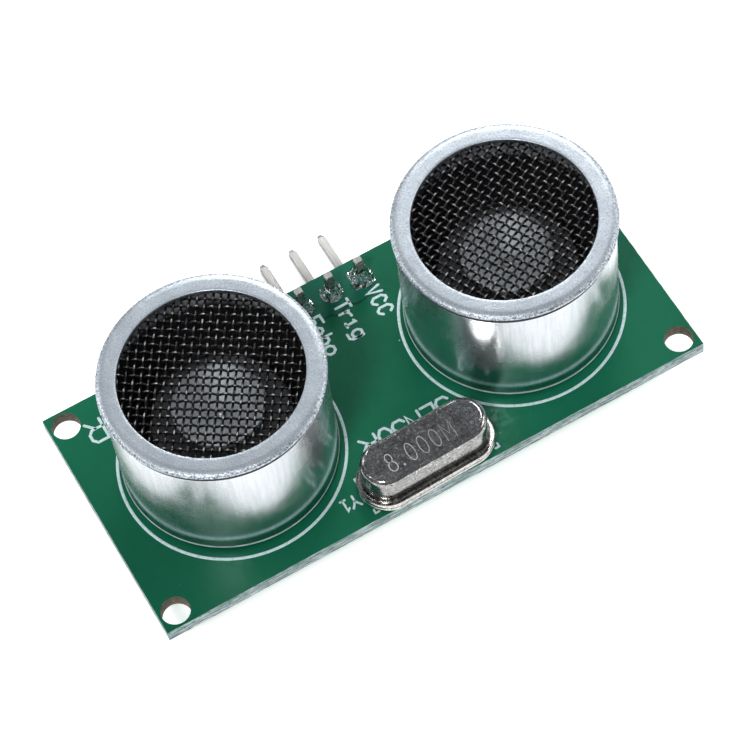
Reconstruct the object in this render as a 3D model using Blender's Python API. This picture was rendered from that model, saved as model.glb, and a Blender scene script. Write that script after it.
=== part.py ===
"""Ultrasonic distance sensor: two open transducers, a crystal and a four-pin header on one circuit board.

The frame's origin is the centre of the board's front face. +X runs along the board's long side, +Y points
to the header's edge and +Z points the way the transducers face. Everything is in metres.
"""
import math

import bmesh
import bpy
from mathutils import Matrix, Vector

MM = 0.001
GAP = 0.1 * MM                      # clearance between pieces that would be soldered, glued or crimped

# Circuit board: its front face lies at Z = 0
BOARD_LENGTH = 44.9 * MM
BOARD_WIDTH = 20.2 * MM
BOARD_THICKNESS = 1.2 * MM
BOARD_BACK = -BOARD_THICKNESS
MOUNT_HOLE_X = 21.12 * MM
MOUNT_HOLE_Y = 8.8 * MM
MOUNT_HOLE_RADIUS = 1.1 * MM
END_STRIP_X = 18.9 * MM             # the board's clear ends begin here
CLEAR_STRIP_X = (-2.6 * MM, 3.2 * MM)   # bare board between the transducers
CLEAR_STRIP_Y = (-5.2 * MM, 6.6 * MM)   # between the crystal and the header, and between the hole rows

# Transducers: turned shapes about their own axes
TRANSDUCER_SPACING = 23.9 * MM
TRANSDUCER_MIDDLE = Vector((0.3 * MM, 0.55 * MM, 0.0))
CAN_RADIUS = 8.05 * MM
CAN_WALL = 0.4 * MM
CAN_BOTTOM = 0.3 * MM
RIM_TOP = 11.7 * MM
RIM_THICKNESS = 0.5 * MM
RIM_RADIUS = 8.25 * MM
CREASE_RADIUS = 7.9 * MM
CREASE_DEPTH = 0.1 * MM
OPENING_RADIUS = 6.75 * MM
SCREEN_THICKNESS = 0.3 * MM
SCREEN_PITCH = 1.5 * MM
SCREEN_WIRE = 0.35 * MM
BASE_TOP = 2.0 * MM
BED_RADIUS = 3.2 * MM
BED_TOP = 4.1 * MM
PIEZO_RADIUS = 4.0 * MM
PIEZO_THICKNESS = 0.5 * MM
DIAPHRAGM_RADIUS = 5.2 * MM
DIAPHRAGM_THICKNESS = 0.3 * MM
HORN_MOUTH_RADIUS = 3.45 * MM
HORN_NECK_RADIUS = 0.9 * MM
HORN_TOP = 7.2 * MM
HORN_WALL = 0.3 * MM
TERMINAL_OFFSET = 5.0 * MM
TERMINAL_RADIUS = 0.4 * MM
TERMINAL_TOP = 3.0 * MM
TERMINAL_BOTTOM = -2.5 * MM
TERMINAL_HOLE_RADIUS = 0.55 * MM
TERMINAL_SOLDER_RADIUS = 1.2 * MM
LEAD_RADIUS = 0.12 * MM

# Crystal, lying at the front edge of the board
CRYSTAL_CENTRE = Vector((0.12 * MM, -7.88 * MM, 0.0))
CRYSTAL_ANGLE = math.radians(1.5)
CRYSTAL_BODY = (10.2 * MM, 3.7 * MM)
CRYSTAL_FLANGE = (11.1 * MM, 4.65 * MM)
CRYSTAL_WALL = 0.3 * MM
CRYSTAL_BASE_BOTTOM = 0.15 * MM
CRYSTAL_BASE_TOP = 0.5 * MM
CRYSTAL_FLANGE_TOP = 0.95 * MM
CRYSTAL_TOP = 3.5 * MM
CRYSTAL_LEAD_OFFSET = 2.44 * MM
CRYSTAL_LEAD_RADIUS = 0.22 * MM
CRYSTAL_LEAD_BOTTOM = -2.2 * MM
CRYSTAL_HOLE_RADIUS = 0.35 * MM
CRYSTAL_SOLDER_RADIUS = 0.85 * MM
BLANK_SIZE = (7.6 * MM, 1.8 * MM, 0.2 * MM)
BLANK_BOTTOM = 2.1 * MM

# Header: four square pins that leave the back of the board and turn towards +Y
PIN_PITCH = 2.54 * MM
PIN_COUNT = 4
PIN_WIDTH = 0.64 * MM
FIRST_PIN_X = -3.9 * MM
PIN_ROW_Y = 8.34 * MM
PIN_STUB_TOP = 2.6 * MM
PIN_AXIS_Z = -4.4 * MM
PIN_TIP_Y = 15.75 * MM
PIN_BEND_RADIUS = 0.42 * MM
PIN_TAPER = 0.35 * MM
PIN_TIP_SCALE = 0.62
PIN_HOLE_RADIUS = 0.6 * MM
HOUSING_HEIGHT = 2.54 * MM
HOUSING_NOTCH = 0.35 * MM
HEADER_SOLDER_RADIUS = 0.95 * MM
HEADER_SOLDER_HEIGHT = 0.8 * MM

# Parts on the back of the board
CHIP_CENTRE = Vector((0.3 * MM, 0.55 * MM, 0.0))
CHIP_SIZE = (9.9 * MM, 3.9 * MM, 1.4 * MM)
CHIP_STANDOFF = 0.2 * MM
CHIP_LEAD_PITCH = 1.27 * MM
CHIP_LEADS_PER_SIDE = 8
CHIP_LEAD_WIDTH = 0.42 * MM
CHIP_LEAD_THICKNESS = 0.2 * MM
CHIP_LEAD_REACH = 1.25 * MM
CHIP_LEAD_FOOT = 0.6 * MM
SMALL_PART_SIZE = (1.6 * MM, 0.8 * MM)
RESISTOR_HEIGHT = 0.45 * MM
CAPACITOR_HEIGHT = 0.8 * MM
# Centres of the chip resistors and capacitors, in millimetres
RESISTOR_PLACES = [(-13.2, 6.2), (-10.6, 6.2), (10.6, 6.2), (13.2, 6.2), (-7.6, -5.2)]
CAPACITOR_PLACES = [(-13.2, -6.4), (-10.6, -6.4), (10.6, -6.4), (13.2, -6.4)]

ROUND_STEPS = 48
HORN_STEPS = 32
SMALL_STEPS = 14
SHARP_ANGLE = math.radians(35)


def clear_scene():
    for item in list(bpy.data.objects):
        bpy.data.objects.remove(item, do_unlink=True)


def make_material(name, colour, metallic, roughness):
    made = bpy.data.materials.new(name)
    made.use_nodes = True
    shader = made.node_tree.nodes["Principled BSDF"]
    shader.inputs["Base Color"].default_value = (*colour, 1.0)
    shader.inputs["Metallic"].default_value = metallic
    shader.inputs["Roughness"].default_value = roughness
    return made


def make_object(name, mesh_data, material=None, place=Matrix.Identity(4)):
    """Turn a bmesh into a named object, smooth on its round stretches."""
    bmesh.ops.recalc_face_normals(mesh_data, faces=mesh_data.faces)
    mesh = bpy.data.meshes.new(name)
    mesh_data.to_mesh(mesh)
    mesh_data.free()
    mesh.shade_smooth()
    mesh.set_sharp_from_angle(angle=SHARP_ANGLE)
    made = bpy.data.objects.new(name, mesh)
    bpy.context.scene.collection.objects.link(made)
    made.matrix_world = place
    if material:
        mesh.materials.append(material)
    return made


def circle(radius, steps, centre=(0.0, 0.0)):
    angles = [2 * math.pi * step / steps for step in range(steps)]
    return [(centre[0] + radius * math.cos(a), centre[1] + radius * math.sin(a)) for a in angles]


def stadium(length, width, steps=9):
    """Outline of a bar with half-round ends, centred on the origin."""
    radius = width / 2
    reach = length / 2 - radius
    points = []
    for side in (1, -1):
        for step in range(steps + 1):
            angle = math.pi * (step / steps - 0.5)
            points.append((side * (reach + radius * math.cos(angle)), side * radius * math.sin(angle)))
    return points


def add_rings(mesh_data, rings, close_loop=False):
    """Join rings of equally many points with quads; cap the ends unless the last ring meets the first."""
    rows = [[mesh_data.verts.new(point) for point in ring] for ring in rings]
    pairs = list(zip(rows, rows[1:]))
    if close_loop:
        pairs.append((rows[-1], rows[0]))
    count = len(rows[0])
    for lower, upper in pairs:
        for i in range(count):
            j = (i + 1) % count
            mesh_data.faces.new((lower[i], lower[j], upper[j], upper[i]))
    if not close_loop:
        mesh_data.faces.new(rows[0][::-1])
        mesh_data.faces.new(rows[-1])


def stack(layers):
    """Solid from flat outlines at given heights: [(outline, z), ...]."""
    mesh_data = bmesh.new()
    add_rings(mesh_data, [[(x, y, z) for x, y in outline] for outline, z in layers])
    return mesh_data


def turned_ring(profile, steps=ROUND_STEPS):
    """Ring-shaped solid: a closed profile of (radius, z) turned about Z."""
    mesh_data = bmesh.new()
    rings = [[(x, y, z) for x, y in circle(radius, steps)] for radius, z in profile]
    add_rings(mesh_data, rings, close_loop=True)
    return mesh_data


def turned_solid(profile, steps=ROUND_STEPS):
    """Full solid: an open profile of (radius, z) turned about Z, with flat ends."""
    return stack([(circle(radius, steps), z) for radius, z in profile])


def box(size, low_z, centre=(0.0, 0.0)):
    x, y = size[0] / 2, size[1] / 2
    outline = [(centre[0] + sx * x, centre[1] + sy * y) for sx, sy in ((-1, -1), (1, -1), (1, 1), (-1, 1))]
    return stack([(outline, low_z), (outline, low_z + size[2])])


def swept_bar(path, width, thickness, scales=None):
    """Rectangular bar along a path of (y, z) points in one plane, width along X."""
    scales = scales or [1.0] * len(path)
    points = [Vector((0.0, y, z)) for y, z in path]
    mesh_data = bmesh.new()
    rings = []
    for i, point in enumerate(points):
        before = (point - points[i - 1]).normalized() if i else None
        after = (points[i + 1] - point).normalized() if i + 1 < len(points) else None
        along = ((before or after) + (after or before)).normalized()
        stretch = 1.0 / max(0.5, along.dot(after or before))
        across = along.cross(Vector((1.0, 0.0, 0.0))) * thickness / 2 * scales[i] * stretch
        side = Vector((width / 2 * scales[i], 0.0, 0.0))
        corners = (-side - across, side - across, side + across, across - side)
        rings.append([point + corner for corner in corners])
    add_rings(mesh_data, rings)
    return mesh_data


def arc(centre, radius, start, end, steps):
    """Points on a flat arc from one angle in degrees to another."""
    angles = [math.radians(start + (end - start) * step / steps) for step in range(steps + 1)]
    return [(centre[0] + radius * math.cos(a), centre[1] + radius * math.sin(a)) for a in angles]


def gather(mesh_parts, name):
    """Put several separate bodies in one mesh, so that one modifier can use them all."""
    gathered = bmesh.new()
    for part in mesh_parts:
        bmesh.ops.recalc_face_normals(part, faces=part.faces)
        scrap = bpy.data.meshes.new(name)
        part.to_mesh(scrap)
        part.free()
        gathered.from_mesh(scrap)
        bpy.data.meshes.remove(scrap)
    return gathered


def combine(target, mesh_parts, name, operation="DIFFERENCE"):
    """Cut bodies out of an object, or join them to it; the bodies stay as a wire-frame guide."""
    guide = make_object(name, gather(mesh_parts, name), place=target.matrix_world)
    guide.hide_render = True
    guide.display_type = "WIRE"
    boolean = target.modifiers.new(name, "BOOLEAN")
    boolean.operation = operation
    boolean.solver = "EXACT"
    boolean.object = guide


def drill(radius, centre, low, high):
    outline = circle(radius, SMALL_STEPS, centre)
    return stack([(outline, low), (outline, high)])


def solder_collar(hole_radius, foot_radius, start, height):
    """Turned collar of solder with a hollow flank; a negative height hangs it under the board."""
    flank = [(1.0, 0.0), (0.6, 0.25), (0.35, 0.55), (0.2, 1.0)]
    spread = foot_radius - hole_radius
    outer = [(hole_radius + spread * share, start + height * rise) for share, rise in flank]
    return turned_ring([(hole_radius, start)] + outer + [(hole_radius, start + height)], SMALL_STEPS)


def crystal_leads():
    return [Vector((side * CRYSTAL_LEAD_OFFSET, 0.0, 0.0)) for side in (-1, 1)]


def pin_positions():
    return [FIRST_PIN_X + PIN_PITCH * i for i in range(PIN_COUNT)]


def terminal_places(axis):
    return [axis + Vector((side * TERMINAL_OFFSET, 0.0, 0.0)) for side in (-1, 1)]


def build_board(materials, axes, crystal_place):
    board = box((BOARD_LENGTH, BOARD_WIDTH, BOARD_THICKNESS), BOARD_BACK)
    lines = [(x, 0) for x in (-END_STRIP_X, *CLEAR_STRIP_X, END_STRIP_X)]
    lines += [(y, 1) for y in CLEAR_STRIP_Y]
    for distance, direction in lines:
        normal = Vector((0.0, 0.0, 0.0))
        normal[direction] = 1.0
        everything = board.verts[:] + board.edges[:] + board.faces[:]
        bmesh.ops.bisect_plane(board, geom=everything, plane_co=normal * distance, plane_no=normal)
    body = make_object("circuit_board", board, materials["board"])
    corners = [(sx * MOUNT_HOLE_X, sy * MOUNT_HOLE_Y) for sx in (-1, 1) for sy in (-1, 1)]
    holes = [(MOUNT_HOLE_RADIUS, corner) for corner in corners]
    holes += [(PIN_HOLE_RADIUS, (x, PIN_ROW_Y)) for x in pin_positions()]
    for axis in axes:
        holes += [(TERMINAL_HOLE_RADIUS, place.xy) for place in terminal_places(axis)]
    holes += [(CRYSTAL_HOLE_RADIUS, (crystal_place @ lead).xy) for lead in crystal_leads()]
    cutters = [drill(radius, centre, BOARD_BACK - MM, MM) for radius, centre in holes]
    combine(body, cutters, "board_drills")


def build_can(prefix, place, materials):
    rim_bottom = RIM_TOP - RIM_THICKNESS
    edge_radius = RIM_THICKNESS / 2
    edge = arc((RIM_RADIUS - edge_radius, RIM_TOP - edge_radius), edge_radius, 90, -60, 3)
    inner = CAN_RADIUS - CAN_WALL
    profile = [(OPENING_RADIUS, RIM_TOP), *edge, (CREASE_RADIUS, rim_bottom - CREASE_DEPTH),
               (CAN_RADIUS, rim_bottom - 3 * CREASE_DEPTH), (CAN_RADIUS, CAN_BOTTOM), (inner, CAN_BOTTOM),
               (inner, rim_bottom), (OPENING_RADIUS, rim_bottom)]
    make_object(f"{prefix}_can", turned_ring(profile), materials["can"], place)


def build_screen(prefix, place, materials, turn):
    """Woven screen, simplified to flat bars: square openings in a disc under the rim."""
    top = RIM_TOP - RIM_THICKNESS - GAP
    radius = CAN_RADIUS - CAN_WALL - 3 * GAP
    disc = turned_solid([(radius, top - SCREEN_THICKNESS), (radius, top)])
    turned_place = place @ Matrix.Rotation(turn, 4, "Z")
    screen = make_object(f"{prefix}_screen", disc, materials["screen"], turned_place)
    opening = SCREEN_PITCH - SCREEN_WIRE
    reach = int(OPENING_RADIUS / SCREEN_PITCH)
    punch = (opening, opening, 3 * SCREEN_THICKNESS)
    cutters = []
    for i in range(-reach, reach + 1):
        for j in range(-reach, reach + 1):
            centre = Vector((i * SCREEN_PITCH, j * SCREEN_PITCH))
            if centre.length + opening / math.sqrt(2) < OPENING_RADIUS:
                cutters.append(box(punch, top - 2 * SCREEN_THICKNESS, centre))
    combine(screen, cutters, f"{prefix}_screen_openings")


def build_vibrator(prefix, place, materials):
    """Silicone bed, piezo disc, metal diaphragm and the conical horn on it, from the bottom up."""
    bed = [(BED_RADIUS * 0.4, BASE_TOP + GAP), (BED_RADIUS, BASE_TOP + GAP), (BED_RADIUS, BED_TOP),
           (BED_RADIUS * 0.4, BED_TOP)]
    make_object(f"{prefix}_silicone_bed", turned_ring(bed, SMALL_STEPS), materials["silicone"], place)
    low = BED_TOP + GAP
    piezo = [(PIEZO_RADIUS, low), (PIEZO_RADIUS, low + PIEZO_THICKNESS)]
    make_object(f"{prefix}_piezo_disc", turned_solid(piezo, HORN_STEPS), materials["ceramic"], place)
    low += PIEZO_THICKNESS + GAP
    diaphragm = [(DIAPHRAGM_RADIUS, low), (DIAPHRAGM_RADIUS, low + DIAPHRAGM_THICKNESS)]
    make_object(f"{prefix}_diaphragm", turned_solid(diaphragm, HORN_STEPS), materials["brass"], place)
    low += DIAPHRAGM_THICKNESS + GAP
    neck, mouth = HORN_NECK_RADIUS, HORN_MOUTH_RADIUS
    floor = low + 2.5 * HORN_WALL
    horn = [(neck, low), (neck, low + HORN_WALL), (mouth, HORN_TOP - HORN_WALL), (mouth, HORN_TOP),
            (mouth - HORN_WALL / 2, HORN_TOP), (neck, floor), (neck / 2, floor), (neck / 2, low)]
    make_object(f"{prefix}_horn", turned_ring(horn, HORN_STEPS), materials["horn"], place)


def build_base(prefix, place, materials):
    radius = CAN_RADIUS - CAN_WALL - GAP
    base = turned_solid([(radius, CAN_BOTTOM + GAP), (radius, BASE_TOP)])
    body = make_object(f"{prefix}_base_plate", base, materials["base"], place)
    centres = [spot.xy for spot in terminal_places(Vector())]
    holes = [drill(TERMINAL_RADIUS + GAP, centre, -MM, BASE_TOP + MM) for centre in centres]
    combine(body, holes, f"{prefix}_base_drills")


def build_terminals(prefix, place, materials):
    piezo_low = BED_TOP + GAP
    diaphragm_low = piezo_low + PIEZO_THICKNESS + GAP
    ends = [(-DIAPHRAGM_RADIUS * 0.86, diaphragm_low), (PIEZO_RADIUS * 0.9, piezo_low)]
    for number, (side, (end_x, end_z)) in enumerate(zip((-1, 1), ends), 1):
        spot = place @ Matrix.Translation((side * TERMINAL_OFFSET, 0.0, 0.0))
        radius = TERMINAL_RADIUS
        pin = [(radius / 2, TERMINAL_BOTTOM), (radius, TERMINAL_BOTTOM + radius / 2), (radius, TERMINAL_TOP)]
        make_object(f"{prefix}_terminal_{number}", turned_solid(pin, SMALL_STEPS), materials["tin"], spot)
        collar = solder_collar(TERMINAL_HOLE_RADIUS, TERMINAL_SOLDER_RADIUS, BOARD_BACK - GAP, -0.9 * MM)
        make_object(f"{prefix}_solder_{number}", collar, materials["solder"], spot)
        start_z = TERMINAL_TOP + LEAD_RADIUS + GAP
        end = (end_x, end_z - LEAD_RADIUS - GAP)
        path = [(side * TERMINAL_OFFSET, start_z), (side * TERMINAL_OFFSET * 0.96, start_z + 0.2 * MM),
                (end[0] + side * 0.25 * MM, end[1] - 0.05 * MM), end]
        lead = swept_bar(path, 2 * LEAD_RADIUS, 2 * LEAD_RADIUS)
        along_x = Matrix.Rotation(-math.pi / 2, 4, "Z")
        make_object(f"{prefix}_lead_{number}", lead, materials["copper"], place @ along_x)


def build_crystal(place, materials):
    body_bottom = CRYSTAL_BASE_TOP + GAP
    length, width = CRYSTAL_BODY
    flange = stadium(*CRYSTAL_FLANGE)
    top_edge = [(0.0, 0.45), (0.06, 0.2), (0.2, 0.06), (0.45, 0.0)]
    layers = [(flange, body_bottom), (flange, CRYSTAL_FLANGE_TOP)]
    layers.append((stadium(length, width), CRYSTAL_FLANGE_TOP))
    for inset, drop in top_edge:
        inset, drop = inset * MM, drop * MM
        layers.append((stadium(length - 2 * inset, width - 2 * inset), CRYSTAL_TOP - drop))
    can = make_object("crystal_can", stack(layers), materials["crystal"], place)
    inside = stadium(length - 2 * CRYSTAL_WALL, width - 2 * CRYSTAL_WALL)
    hollow = stack([(inside, body_bottom - MM), (inside, CRYSTAL_TOP - CRYSTAL_WALL)])
    combine(can, [hollow], "crystal_hollow")

    step = stadium(length - 2 * CRYSTAL_WALL - 2 * GAP, width - 2 * CRYSTAL_WALL - 2 * GAP)
    base_layers = [(flange, CRYSTAL_BASE_BOTTOM), (flange, CRYSTAL_BASE_TOP), (step, CRYSTAL_BASE_TOP),
                   (step, CRYSTAL_FLANGE_TOP)]
    base = make_object("crystal_base", stack(base_layers), materials["crystal"], place)
    seal_radius = 3 * CRYSTAL_LEAD_RADIUS
    holes = [drill(seal_radius, lead.xy, -MM, CRYSTAL_FLANGE_TOP + MM) for lead in crystal_leads()]
    combine(base, holes, "crystal_base_drills")
    make_object("crystal_blank", box(BLANK_SIZE, BLANK_BOTTOM), materials["quartz"], place)
    for number, lead in enumerate(crystal_leads(), 1):
        spot = place @ Matrix.Translation(lead)
        wire = [(CRYSTAL_LEAD_RADIUS, CRYSTAL_LEAD_BOTTOM), (CRYSTAL_LEAD_RADIUS, BLANK_BOTTOM - GAP)]
        make_object(f"crystal_lead_{number}", turned_solid(wire, SMALL_STEPS), materials["tin"], spot)
        seal = [(CRYSTAL_LEAD_RADIUS + GAP, CRYSTAL_BASE_BOTTOM), (seal_radius - GAP, CRYSTAL_BASE_BOTTOM),
                (seal_radius - GAP, CRYSTAL_FLANGE_TOP), (CRYSTAL_LEAD_RADIUS + GAP, CRYSTAL_FLANGE_TOP)]
        make_object(f"crystal_seal_{number}", turned_ring(seal, SMALL_STEPS), materials["seal_glass"], spot)
        collar = solder_collar(CRYSTAL_HOLE_RADIUS, CRYSTAL_SOLDER_RADIUS, BOARD_BACK - GAP, -0.7 * MM)
        make_object(f"crystal_solder_{number}", collar, materials["solder"], spot)


def build_header(materials):
    low = BOARD_BACK - GAP - HOUSING_HEIGHT
    half = PIN_PITCH / 2
    notch = half - HOUSING_NOTCH
    side = [(FIRST_PIN_X - half, -notch)]
    for x in pin_positions():
        side += [(x - notch, -half), (x + notch, -half), (x + half, -notch)]
    middle = FIRST_PIN_X + PIN_PITCH * (PIN_COUNT - 1) / 2
    outline = [(x, PIN_ROW_Y + y) for x, y in side] + [(2 * middle - x, PIN_ROW_Y - y) for x, y in side]
    housing = make_object("header_housing", stack([(outline, low), (outline, low + HOUSING_HEIGHT)]),
                          materials["black_plastic"])
    hole = PIN_WIDTH + 2 * GAP
    holes = [box((hole, hole, HOUSING_HEIGHT + 2 * MM), low - MM, (x, PIN_ROW_Y)) for x in pin_positions()]
    combine(housing, holes, "housing_slots")

    bend = arc((PIN_ROW_Y + PIN_BEND_RADIUS, PIN_AXIS_Z + PIN_BEND_RADIUS), PIN_BEND_RADIUS, 180, 270, 6)
    path = [(PIN_ROW_Y, PIN_STUB_TOP), (PIN_ROW_Y, PIN_STUB_TOP - PIN_TAPER), *bend,
            (PIN_TIP_Y - PIN_TAPER, PIN_AXIS_Z), (PIN_TIP_Y, PIN_AXIS_Z)]
    scales = [PIN_TIP_SCALE] + [1.0] * (len(path) - 2) + [PIN_TIP_SCALE]
    for number, x in enumerate(pin_positions(), 1):
        pin = swept_bar(path, PIN_WIDTH, PIN_WIDTH, scales)
        make_object(f"header_pin_{number}", pin, materials["pin"], Matrix.Translation((x, 0.0, 0.0)))
        collar = solder_collar(PIN_HOLE_RADIUS - GAP, HEADER_SOLDER_RADIUS, GAP, HEADER_SOLDER_HEIGHT)
        spot = Matrix.Translation((x, PIN_ROW_Y, 0.0))
        make_object(f"header_solder_{number}", collar, materials["solder"], spot)


def build_chip(materials):
    """Ranging chip on the back of the board, with its bent leads."""
    length, width, height = CHIP_SIZE
    top = BOARD_BACK - CHIP_STANDOFF
    place = Matrix.Translation(CHIP_CENTRE)
    waist = 0.93
    layers = []
    for share, depth in ((waist, 0.0), (1.0, 0.45), (1.0, 0.55), (waist, 1.0)):
        x, y = length / 2 * share, width / 2 * share
        layers.append(([(-x, -y), (x, -y), (x, y), (-x, y)], top - height * (1.0 - depth)))
    chip = make_object("ranging_chip", stack(layers), materials["black_plastic"], place)
    start = width / 2 - CHIP_LEAD_THICKNESS
    knee = top - height / 2
    foot = BOARD_BACK - GAP - CHIP_LEAD_THICKNESS / 2
    end = start + CHIP_LEAD_REACH
    path = [(start, knee), (start + 0.45 * MM, knee), (end - CHIP_LEAD_FOOT, foot), (end, foot)]
    leads = []
    for turn in (0.0, math.pi):
        for number in range(CHIP_LEADS_PER_SIDE):
            x = CHIP_LEAD_PITCH * (number - (CHIP_LEADS_PER_SIDE - 1) / 2)
            lead = swept_bar(path, CHIP_LEAD_WIDTH, CHIP_LEAD_THICKNESS)
            lead.transform(Matrix.Rotation(turn, 4, "Z") @ Matrix.Translation((x, 0.0, 0.0)))
            leads.append(lead)
    combine(chip, leads, "chip_leads", "UNION")


def build_small_parts(materials):
    kinds = (("resistor", RESISTOR_PLACES, RESISTOR_HEIGHT),
             ("capacitor", CAPACITOR_PLACES, CAPACITOR_HEIGHT))
    for name, places, height in kinds:
        for number, (x, y) in enumerate(places, 1):
            body = box((*SMALL_PART_SIZE, height), BOARD_BACK - GAP - height)
            place = Matrix.Translation((x * MM, y * MM, 0.0))
            make_object(f"{name}_{number}", body, materials[name], place)


def make_materials():
    finishes = {
        "board": ((0.02, 0.20, 0.09), 0.0, 0.3),
        "can": ((0.80, 0.82, 0.85), 1.0, 0.25),
        "screen": ((0.03, 0.03, 0.03), 0.6, 0.5),
        "horn": ((0.75, 0.76, 0.78), 1.0, 0.3),
        "brass": ((0.72, 0.55, 0.28), 1.0, 0.35),
        "ceramic": ((0.55, 0.50, 0.40), 0.0, 0.6),
        "silicone": ((0.85, 0.85, 0.82), 0.0, 0.7),
        "base": ((0.05, 0.05, 0.05), 0.0, 0.5),
        "tin": ((0.78, 0.77, 0.74), 1.0, 0.3),
        "copper": ((0.70, 0.35, 0.18), 1.0, 0.35),
        "solder": ((0.75, 0.76, 0.78), 1.0, 0.2),
        "pin": ((0.74, 0.70, 0.62), 1.0, 0.35),
        "crystal": ((0.45, 0.42, 0.40), 1.0, 0.2),
        "quartz": ((0.85, 0.85, 0.82), 0.0, 0.1),
        "seal_glass": ((0.10, 0.20, 0.25), 0.0, 0.1),
        "black_plastic": ((0.02, 0.02, 0.02), 0.0, 0.5),
        "resistor": ((0.03, 0.03, 0.04), 0.0, 0.4),
        "capacitor": ((0.45, 0.30, 0.17), 0.0, 0.5),
    }
    return {name: make_material(name, *finish) for name, finish in finishes.items()}


def main():
    clear_scene()
    materials = make_materials()
    half = Vector((TRANSDUCER_SPACING / 2, 0.0, 0.0))
    axes = {"receiver": TRANSDUCER_MIDDLE - half, "transmitter": TRANSDUCER_MIDDLE + half}
    crystal_place = Matrix.Translation(CRYSTAL_CENTRE) @ Matrix.Rotation(CRYSTAL_ANGLE, 4, "Z")
    build_board(materials, axes.values(), crystal_place)
    for prefix, axis in axes.items():
        place = Matrix.Translation(axis)
        build_can(prefix, place, materials)
        build_screen(prefix, place, materials, math.radians(0 if prefix == "receiver" else 30))
        build_vibrator(prefix, place, materials)
        build_base(prefix, place, materials)
        build_terminals(prefix, place, materials)
    build_crystal(crystal_place, materials)
    build_header(materials)
    build_chip(materials)
    build_small_parts(materials)


main()
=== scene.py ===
"""Looks of the ultrasonic distance sensor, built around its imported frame.

The frame's origin is the centre of the board's front face. +X runs along the board, +Y points to the
header's edge and +Z points the way the transducers face. Everything is in metres.
"""

import math
import random

import bmesh
import bpy
from mathutils import Matrix, Vector, noise


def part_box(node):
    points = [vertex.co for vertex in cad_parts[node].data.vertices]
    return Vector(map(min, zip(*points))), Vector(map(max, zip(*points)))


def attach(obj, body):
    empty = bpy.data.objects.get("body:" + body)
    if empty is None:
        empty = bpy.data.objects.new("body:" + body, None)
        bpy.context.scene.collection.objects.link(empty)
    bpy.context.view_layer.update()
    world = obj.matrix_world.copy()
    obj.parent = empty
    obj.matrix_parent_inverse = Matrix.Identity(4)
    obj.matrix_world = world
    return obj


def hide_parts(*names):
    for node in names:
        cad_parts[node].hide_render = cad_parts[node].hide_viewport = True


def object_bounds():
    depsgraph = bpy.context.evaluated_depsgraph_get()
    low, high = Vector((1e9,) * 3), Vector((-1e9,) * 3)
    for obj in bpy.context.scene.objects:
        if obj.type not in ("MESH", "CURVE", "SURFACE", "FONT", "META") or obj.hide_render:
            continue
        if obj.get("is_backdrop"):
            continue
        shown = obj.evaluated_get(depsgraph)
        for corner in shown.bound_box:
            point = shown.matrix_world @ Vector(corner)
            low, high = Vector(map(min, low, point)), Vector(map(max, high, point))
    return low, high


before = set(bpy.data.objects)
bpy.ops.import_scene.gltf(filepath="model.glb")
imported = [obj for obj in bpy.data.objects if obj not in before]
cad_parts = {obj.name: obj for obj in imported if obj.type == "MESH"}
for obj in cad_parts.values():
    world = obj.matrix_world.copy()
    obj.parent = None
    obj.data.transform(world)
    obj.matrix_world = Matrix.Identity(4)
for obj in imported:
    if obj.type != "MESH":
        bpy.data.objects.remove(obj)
cad_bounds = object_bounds()

MM = 0.001
UP = Vector((0.0, 0.0, 1.0))
TRANSDUCERS = ("receiver", "transmitter")
random.seed(7)


# ---------------------------------------------------------------- sizes that the frame gives

def middle(node):
    low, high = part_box(node)
    return (low + high) / 2


def flat(vector):
    return Vector((vector.x, vector.y, 0.0))


BOARD_LOW, BOARD_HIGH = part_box("circuit_board")
BOARD_BACK = BOARD_LOW.z
SCREEN_LEVEL = middle("receiver_screen").z
PIN_COUNT = 4
PIN_ROW = [flat(middle(f"header_solder_{i}")) for i in range(1, PIN_COUNT + 1)]
AXES = {prefix: flat(middle(f"{prefix}_can")) for prefix in TRANSDUCERS}
TERMINALS = [flat(middle(f"{prefix}_terminal_{i}")) for prefix in TRANSDUCERS for i in (1, 2)]
CRYSTAL_LEADS = [flat(middle(f"crystal_lead_{i}")) for i in (1, 2)]
CRYSTAL_MIDDLE = (CRYSTAL_LEADS[0] + CRYSTAL_LEADS[1]) / 2
CRYSTAL_ALONG = CRYSTAL_LEADS[1] - CRYSTAL_LEADS[0]
CRYSTAL_PLACE = Matrix.Translation(CRYSTAL_MIDDLE) @ Matrix.Rotation(
    math.atan2(CRYSTAL_ALONG.y, CRYSTAL_ALONG.x), 4, "Z")

# Board details that have no node of their own
MOUNT_HOLE_INSET = Vector((1.33, 1.3, 0.0)) * MM
MOUNT_HOLE_RADIUS = 1.1 * MM
PIN_HOLE_RADIUS = 0.6 * MM
TERMINAL_HOLE_RADIUS = 0.55 * MM
CRYSTAL_HOLE_RADIUS = 0.35 * MM
COPPER = 0.035 * MM
INK = 0.02 * MM


# ---------------------------------------------------------------- materials

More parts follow.
